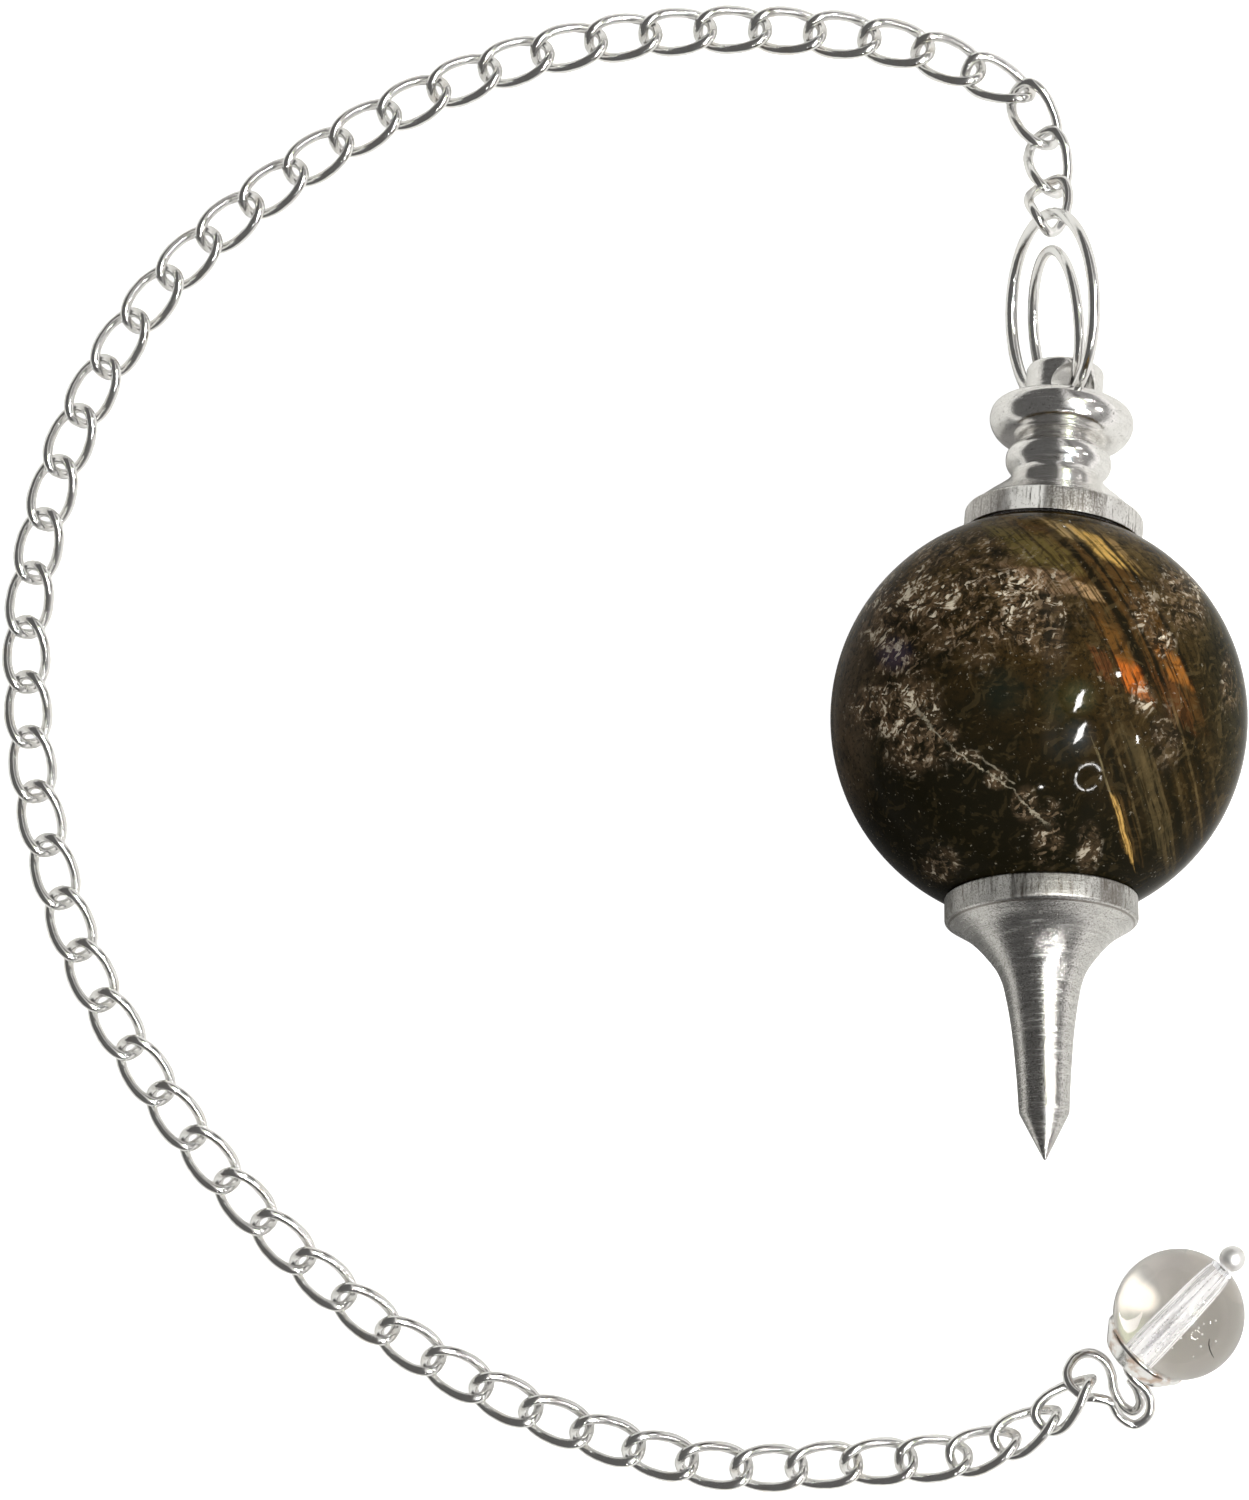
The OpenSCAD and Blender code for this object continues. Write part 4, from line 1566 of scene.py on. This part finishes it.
    def _bead(self) -> None:
        """Makes the drilled bead with its bubbles and the hair in it."""
        form = self._shell()
        bmesh.ops.transform(form, matrix=self.place, verts=form.verts[:])
        for x, y, size in self.bubbles:
            start = len(form.faces)
            spot = bmesh.ops.create_icosphere(form, subdivisions=2, radius=size * MM)["verts"]
            bmesh.ops.translate(form, verts=spot, vec=self._under(x, y, self.bubble_depth))
            self._mark(form, start, BeadPart.BUBBLE)
        strand = [self._under(x, y, self.hair_depth) for x, y in self.hair]
        start = len(form.faces)
        form.from_mesh(wire_mesh([strand], self.hair_wire * MM, False, self.hair_shares, 1))
        self._mark(form, start, BeadPart.HAIR)
        materials = [
            GlassFinish().build(self.centre * MM), FrostFinish().build(self.place),
            # The bubbles carry a painted glow.
            SpeckFinish("bubble_wall", (0.97, 0.97, 0.96), 0.25, 0.45).build(),
            SpeckFinish("hair_in_bead", (0.040, 0.026, 0.018), 0.5).build(),
        ]
        Piece("clear_bead", Slot.CLEAR_BEAD, "end_bead", materials, 50.0).show(form)

    def _under(self, x: float, y: float, depth: float) -> Vector:
        """Place a little under the bead's upper surface, in metres.

        Args:
            x: distance to the right of the bead's centre, in millimetres.
            y: distance up the picture from it.
            depth: depth under the surface.

        Returns:
            The place.
        """
        inner = self.radius - depth
        return (self.centre + Vector((x, y, math.sqrt(inner**2 - x * x - y * y)))) * MM

    def _cup(self, plate: bpy.types.Material) -> None:
        """Makes the dished cup at the bead's lower end.

        Args:
            plate: the cup's material.
        """
        rim, wall, floor = self.cup / 2, self.cup_wall, self.cup_floor
        rise = self.cup_rise * self.radius
        hole, inner = self.wire / 2 + self.gap, self.radius + self.gap
        outside = rounded([
            (hole, -floor - wall, 0.0),
            (0.62 * rim, -floor - wall, 0.14),
            (0.74 * rim, -floor - 0.3 * wall, 0.10),
            (rim, 0.78 * rise - floor, 0.10),
            (rim, 0.92 * rise - floor, 0.05),
            (rim - 0.6 * wall, rise - floor, 0.05),
            (rim - 1.2 * wall, 0.95 * rise - floor, 0.0),
        ])
        start = outside[-1][0]
        radii = [start - (start - hole) * k / 10 for k in range(1, 11)]
        inside = [(radius, -math.sqrt(inner**2 - radius**2)) for radius in radii]
        form = turned_mesh([*outside, *inside], 80, closed=True)
        bmesh.ops.transform(form, matrix=self.place, verts=form.verts[:])
        Piece("bead_cup_dished", Slot.PLATED_WIRE, "bead_cup", [plate], 50.0).show(form)

    def _pin(self, plate: bpy.types.Material) -> None:
        """Makes the headed pin with its coiled eye.

        Args:
            plate: the wire's material.
        """
        base = self.radius + self.gap
        first = self.centre + (base + 0.3 * self.head) * self.line
        back = self.cup_floor + self.cup_wall
        run = [self.centre + (base * (1 - k / 6) - back * k / 6) * self.line for k in range(7)]
        rows = [self.eye_start, *[self.eye_start + self.eye * Vector(row) for row in self.eye_rows]]
        eye = curve_points(rows, 8)
        shares = [1.0] * (1 + len(run) + len(eye))
        shares[-1] = 0.82
        path = [spot * MM for spot in (first, *run, *eye)]
        head = smooth_rows([(r * self.head / 2 * 0.995, base + h * self.head) for r, h in self.head_rows])
        dome = [(max(r, 0.0), min(h, base + self.head)) for r, h in head]
        form = turned_mesh([*dome, (0.0, head[-1][1])], 48)
        bmesh.ops.transform(form, matrix=self.place, verts=form.verts[:])
        for face in form.faces:
            face.material_index = 1
        form.from_mesh(wire_mesh([path], self.wire * MM, False, shares, 5))
        matt = PlatedFinish("head_plate", rough=(0.40, 0.55)).build()
        Piece("headed_pin", Slot.PLATED_WIRE, "bead_pin", [plate, matt]).show(form)


@dataclass(frozen=True)
class Chain:
    """The chain of twisted oval links from the large ring to the pin's eye."""

    ring: JumpRing
    bead: EndBead
    pitch: float = 2.74
    wire: float = 0.52
    width: float = 2.45
    twist: float = 45.0
    play: float = 0.2
    slack_share: float = 0.88
    slack_links: int = 3
    slack_rise: float = 0.24
    hook_angle: float = -6.0
    hook_ease: float = 0.1
    square: float = 0.7
    stations: int = 44
    ring_rolls: tuple[float, ...] = (0, 0, 0, 20)
    pin_rolls: tuple[float, ...] = (-15, -30, -40, -50)
    route: tuple[Row, ...] = (
        (16.9, 34.1), (13.3, 35.4), (5.2, 36.0), (-2.9, 35.1), (-10.5, 32.4), (-17.4, 28.2), (-23.4, 22.8),
        (-27.6, 15.7), (-29.7, 7.8), (-29.8, 2.4), (-29.2, -3.2), (-26.8, -11.0), (-22.5, -18.1),
        (-17.0, -24.6), (-10.6, -29.8), (-3.2, -33.6), (4.7, -35.8), (12.9, -35.5), (16.6, -35.3),
    )
    ring_way: tuple[tuple[float, float, float], ...] = (
        (-0.10, 0.21, 0.42), (-0.05, 0.53, 0.74), (0.13, 0.77, 0.89), (0.42, 0.91, 0.97),
    )
    pin_way: tuple[tuple[float, float, float], ...] = ((0.36, 0.21, 0.15), (0.69, 0.51, 0.49))

    @property
    def reach(self) -> float:
        """Half the length of a link's middle line, in millimetres."""
        return (self.pitch + self.wire + self.play) / 2

    @property
    def spread(self) -> float:
        """Half the width of a link's middle line, in millimetres."""
        return (self.width - self.wire) / 2

    @property
    def height(self) -> float:
        """Height of a lying link's middle above the table, in millimetres."""
        drops = [
            self.spread * math.sin(math.radians(t)) ** self.square
            * math.sin(math.radians(self.twist * math.cos(math.radians(t)) ** self.square))
            for t in range(0, 90, 2)
        ]
        return self.wire / 2 + max(drops)

    def link_line(self) -> list[Vector]:
        """Middle line of one twisted link.

        Returns:
            Its places in millimetres.
        """
        made = []
        for i in range(self.stations):
            t = 2 * math.pi * (i + 0.5) / self.stations
            x = self.reach * math.copysign(abs(math.cos(t)) ** self.square, math.cos(t))
            y = self.spread * math.copysign(abs(math.sin(t)) ** self.square, math.sin(t))
            turn = -math.radians(self.twist) * x / self.reach
            made.append(Vector((x, y * math.cos(turn), y * math.sin(turn))))
        return made

    def walk(self) -> list[Vector]:
        """The chain's way in space.

        Returns:
            Its places in millimetres, from the large ring to the pin's eye.
        """
        route = [Vector((x, y, self.height)) for x, y in self.route]
        route[-1].z += self.slack_rise
        hook, eye = self.ring.hook(self.hook_angle), self.bead.eye_hook
        ring_rows = self._between(hook, route[0], self.ring_way)
        pin_rows = self._between(route[-1], eye, self.pin_way)
        ring_past = (self.ring.wire + self.play) / 2 + self.hook_ease
        pin_past = (self.bead.wire + self.play) / 2 + self.hook_ease
        rows = [
            hook - ring_past * (ring_rows[0] - hook).normalized(), *ring_rows, *route, *pin_rows,
            eye + pin_past * (eye - pin_rows[-1]).normalized(),
        ]
        walk = curve_points(rows, 12)
        for spot in walk:
            spot.z = max(spot.z, self.height)
        return walk

    @staticmethod
    def _between(a: Vector, b: Vector, rows: Sequence[tuple[float, float, float]]) -> list[Vector]:
        """Places between two others, given as shares of the way along each axis."""
        return [Vector([a[i] + (b[i] - a[i]) * row[i] for i in range(3)]) for row in rows]

    def joints(self) -> list[Vector]:
        """Places where the links meet.

        Returns:
            The places in millimetres.
        """
        walk = self.walk()
        ways = [0.0]
        for a, b in zip(walk, walk[1:]):
            ways.append(ways[-1] + (b - a).length)
        lost = self.slack_links * (1 - self.slack_share)
        count = round(ways[-1] / self.pitch + lost)
        laid = ways[-1] / (count - lost)
        spots = []
        for k in range(count + 1):
            way = min(laid * (k - max(0, k - (count - self.slack_links)) * (1 - self.slack_share)), ways[-1])
            i = next((i for i in range(1, len(ways)) if ways[i] >= way - 1e-9), len(ways) - 1)
            share = (way - ways[i - 1]) / (ways[i] - ways[i - 1])
            spots.append(walk[i - 1].lerp(walk[i], share))
        return spots

    def roll(self, k: int, count: int) -> float:
        """Roll of a link about its length.

        Args:
            k: the link's number from the large ring.
            count: how many links there are.

        Returns:
            The roll in degrees.
        """
        if k < len(self.ring_rolls):
            return self.ring_rolls[k]
        if k >= count - len(self.pin_rolls):
            return self.pin_rolls[k - (count - len(self.pin_rolls))]
        return 0.0

    def build(self, plate: bpy.types.Material) -> None:
        """Makes and dresses the chain.

        Args:
            plate: the wire's material.
        """
        joints, line = self.joints(), self.link_line()
        count = len(joints) - 1
        paths = []
        for k, (start, end) in enumerate(zip(joints, joints[1:])):
            way = end - start
            place = (
                Matrix.Translation((start + end) / 2)
                @ Matrix.Rotation(math.atan2(way.y, way.x), 4, "Z")
                @ Matrix.Rotation(-math.asin(way.z / way.length), 4, "Y")
                @ Matrix.Rotation(math.radians(self.roll(k, count)), 4, "X")
            )
            paths.append([(place @ spot) * MM for spot in line])
        mesh = wire_mesh(paths, self.wire * MM, True, None, 4)
        Piece("twisted_chain", Slot.PLATED_WIRE, "chain", [plate]).show(mesh)


# The table, the light and the camera


@dataclass(frozen=True)
class Panel:
    """A small lamp, drawn as a flat outline that faces the subject.

    A soft panel fades from its middle to its edge and hangs a little farther off.
    """

    name: str
    line: tuple[float, float, float]
    outline: tuple[Row, ...]
    inner: float = 0.0
    strength: float = 150.0
    colour: Colour = (1.0, 0.99, 0.97)
    soft: float = 0.0
    gaps: tuple[int, ...] = ()


@dataclass(frozen=True)
class Patch:
    """A soft oval on the table: its middle, where it starts and ends to fade, and its stretch."""

    x: float
    y: float
    start: float
    end: float
    wide: float = 1.0
    high: float = 1.0


@dataclass(frozen=True)
class Studio:
    """White table, dim room with small bright lamps, and a camera straight above."""

    height: float = 0.250
    frame_height: float = 0.07512
    sensor: float = 36.0
    table: float = 1.2
    lamp_distance: float = 0.8
    slant: tuple[Row, ...] = ((-0.046, -0.086), (0.012, -0.034), (0.046, 0.086), (-0.012, 0.034))
    dot: tuple[Row, ...] = ((-0.016, -0.018), (0.016, -0.012), (0.014, 0.018), (-0.016, 0.014))
    dash: tuple[Row, ...] = ((-0.014, -0.006), (0.014, -0.008), (0.012, 0.006), (-0.014, 0.008))
    tick: tuple[Row, ...] = ((0.002, -0.030), (0.016, -0.026), (0.000, 0.028), (-0.014, 0.022))
    backdrop: Colour = (1.0, 1.0, 1.0)
    table_tone: Colour = (0.60, 0.595, 0.585)
    table_glow: Colour = (0.130, 0.128, 0.125)
    # Painted shadow and pools of light on the table.
    shade: Patch = Patch(3.0, -13.0, 0.6, 1.5, 13.0, 17.0)
    bead_glow: Colour = (0.205, 0.194, 0.168)
    bead_patch: Patch = Patch(0.60, -0.50, 0.50, 1.50)
    focus_glow: Colour = (1.0, 0.97, 0.86)
    focus: Patch = Patch(-0.21, -0.12, 0.12, 0.31)
    ring_half: Row = (0.098, 0.104)
    ring_inner: float = 0.92
    ring_gaps: tuple[int, ...] = (1, 2, 3, 20, 21, 36, 43, 44, 45, 46)
    haze: float = 0.19
    room_light: float = 0.105
    window_light: float = 0.58
    overhead_light: float = 0.17
    right_light: float = 0.72

    def build(self, subject: Vector, bead: Vector) -> None:
        """Sets up the table, the lamps, the room and the camera.

        Args:
            subject: place in metres that the lamps are aimed at.
            bead: centre of the clear bead, in metres, round which light and shade are painted on the table.
        """
        self._floor(bead)
        round_line = [(math.cos(t * math.pi / 24), math.sin(t * math.pi / 24)) for t in range(48)]
        ring = tuple((self.ring_half[0] * x, self.ring_half[1] * y) for x, y in round_line)
        disc = tuple((self.haze * x, self.haze * y) for x, y in round_line)
        for panel in (
            Panel("lamp_high", (0.295, 0.160, 0.942), self.slant),
            Panel("lamp_low", (0.305, -0.137, 0.943), self.slant),
            Panel(
                "lamp_ring", (0.3725, -0.515, 0.772), ring, inner=self.ring_inner, strength=110.0,
                gaps=self.ring_gaps,
            ),
            Panel("lamp_dot_near", (-0.040, -0.612, 0.790), self.dash),
            Panel("lamp_dot_far", (0.622, 0.370, 0.690), self.dot),
            Panel("lamp_dot_side", (0.765, -0.173, 0.620), self.tick),
            Panel(
                "haze_high", (0.315, 0.200, 0.928), disc, strength=4.6, colour=(0.80, 0.95, 0.50),
                soft=self.haze,
            ),
            Panel(
                "haze_low", (0.300, -0.170, 0.939), disc, strength=4.0, colour=(0.62, 0.76, 0.85),
                soft=self.haze,
            ),
        ):
            self._lamp(panel, subject)
        self._room()
        self._camera()
        bpy.context.scene.view_settings.view_transform = "Standard"

    def _floor(self, bead: Vector) -> None:
        """Lays the table top, white to the eye and greyer in reflections, with painted shadow and light
        beside the ball and under the bead.

        Args:
            bead: centre of the clear bead, in metres.
        """
        form = bmesh.new()
        bmesh.ops.create_grid(form, x_segments=1, y_segments=1, size=self.table / 2)
        mesh = bpy.data.meshes.new("table_top")
        form.to_mesh(mesh)
        form.free()
        s = Sheet("table_white")
        paper = s.noise(s.place(Vector((0, 0, 0)), 1.0), 400.0, 2.0)
        seen = Tone(s, s.node("ShaderNodeLightPath").outputs["Is Camera Ray"])
        place, under = s.place(Vector((0, 0, 0)), MM), s.place(bead, MM)
        # Painted shadow: a soft dark oval on the table beside the ball and the spike, seen in reflections.
        dim = self._spot(s, place, self.shade)
        tone = s.blend(self.table_tone, tuple(0.95 * part for part in self.table_tone), paper)
        tone = s.blend(tone, tuple(0.25 * part for part in self.table_tone), dim)
        glow = s.blend(self.table_glow, tuple(0.3 * part for part in self.table_glow), dim)
        # Painted shadow and light under the clear bead: the table is darker there but glows, with a bright
        # painted spot where the bead would focus light; they show through the bead.
        patch = self._spot(s, under, self.bead_patch)
        tone = s.blend(tone, tuple(0.58 * part for part in self.table_tone), patch)
        glow = s.blend(glow, self.bead_glow, patch)
        glow = s.blend(glow, self.focus_glow, self._spot(s, under, self.focus))
        mesh.materials.append(s.finish(
            Base_Color=tone,
            Roughness=1.0,
            Specular_IOR_Level=0.0,
            Emission_Color=s.blend(glow, self.backdrop, seen),
            Emission_Strength=1.0,
        ))
        top = bpy.data.objects.new("table_top", mesh)
        bpy.context.scene.collection.objects.link(top)

    @staticmethod
    def _spot(s: Sheet, place: bpy.types.NodeSocket, patch: Patch) -> Tone:
        """Share of a soft oval patch on the table.

        Args:
            s: the table's sheet.
            place: where the patch is measured.
            patch: the patch.

        Returns:
            One in the patch and zero away from it.
        """
        x, y = s.parts(place)[:2]
        across, up = (x - patch.x) / patch.wide, (y - patch.y) / patch.high
        return s.maths(Maths.ROOT, across * across + up * up).rise(patch.start, patch.end, 1.0, 0.0)

    def _lamp(self, panel: Panel, subject: Vector) -> None:
        """Hangs one lamp.

        Args:
            panel: the lamp's place, outline and light.
            subject: what it faces, in metres.
        """
        back = Vector(panel.line).normalized()
        up = (Vector((0, 1, 0)) - back.y * back).normalized()
        across = up.cross(back)
        centre = subject + back * (self.lamp_distance + 0.3 * panel.soft)
        form = bmesh.new()
        outer = [form.verts.new(centre + across * x + up * y) for x, y in panel.outline]
        if panel.inner:
            hole = [form.verts.new(centre + (across * x + up * y) * panel.inner) for x, y in panel.outline]
            for k in set(range(len(outer))) - set(panel.gaps):
                n = (k + 1) % len(outer)
                form.faces.new((outer[k], outer[n], hole[n], hole[k]))
        else:
            form.faces.new(outer)
        mesh = bpy.data.meshes.new(panel.name)
        form.to_mesh(mesh)
        form.free()
        s = Sheet(panel.name)
        light = s.node("ShaderNodeEmission")
        s.feed(light.inputs["Color"], panel.colour)
        strength: Tone | float = panel.strength
        if panel.soft:
            u, v, w = s.parts(s.place(centre, panel.soft))
            strength = s.maths(Maths.ROOT, u * u + v * v + w * w).rise(0.0, 1.0, panel.strength, 0.0)
        s.feed(light.inputs["Strength"], strength)
        out = s.node("ShaderNodeOutputMaterial")
        s.feed(out.inputs["Surface"], light.outputs[0])
        mesh.materials.append(s.material)
        lamp = bpy.data.objects.new(panel.name, mesh)
        bpy.context.scene.collection.objects.link(lamp)

    def _room(self) -> None:
        """Makes the room: dark overhead and to the left, pale to the right."""
        world = bpy.data.worlds.new("room")
        bpy.context.scene.world = world
        s = Sheet("room", world)
        x, y, z = s.parts(s.node("ShaderNodeTexCoord").outputs["Generated"])
        side = s.maths(Maths.ANGLE, x, z.or_more(0.001))
        middle = side.rise(0.42, 0.60, 0.0, self.overhead_light)
        right = side.rise(1.15, 1.42, 0.0, self.right_light)
        window = side.rise(-0.08, 0.02) * side.rise(0.20, 0.36, self.window_light, 0.0)
        window = window * y.rise(-0.45, -0.15)
        tone = middle + right + window + self.room_light
        path = s.node("ShaderNodeLightPath").outputs["Is Camera Ray"]
        back = s.node("ShaderNodeBackground")
        shade = s.blend((0.0, 0.0, 0.0), (1.0, 0.98, 0.955), tone)
        s.feed(back.inputs[0], s.blend(shade, self.backdrop, Tone(s, path)))
        out = s.node("ShaderNodeOutputWorld")
        s.feed(out.inputs[0], back.outputs[0])

    def _camera(self) -> None:
        """Puts the camera straight above the table."""
        eye = bpy.data.cameras.new("camera")
        eye.sensor_fit = "VERTICAL"
        eye.sensor_height = self.sensor
        eye.lens = self.sensor * self.height / self.frame_height
        eye.clip_start, eye.clip_end = 0.01, 10.0
        camera = bpy.data.objects.new("camera", eye)
        camera.location = (0.0, 0.0, self.height)
        bpy.context.scene.collection.objects.link(camera)
        bpy.context.scene.camera = camera


def main() -> None:
    """Builds the pendulum and its table."""
    logging.basicConfig(level=logging.INFO, format="%(name)s %(message)s")
    ball = Ball()
    cap = Cap(ball)
    bead = EndBead()
    large = JumpRing("large_jump_ring", "large_ring", cap, 10.1, 0.6, Lie(1.1, -20.4, -3.0, 0.63, -0.54))
    small = JumpRing("small_jump_ring", "small_ring", cap, 8.0, 0.55, Lie(4.7, -12.1, -12.1, 0.12, 0.17))
    plate = PlatedFinish().build()
    ball.build()
    Spike(ball).build()
    cap.build()
    large.build(plate)
    small.build(plate)
    Chain(large, bead).build(plate)
    bead.build(plate)
    Studio().build(ball.centre * MM, bead.centre * MM)


if __name__ == "__main__":
    main()
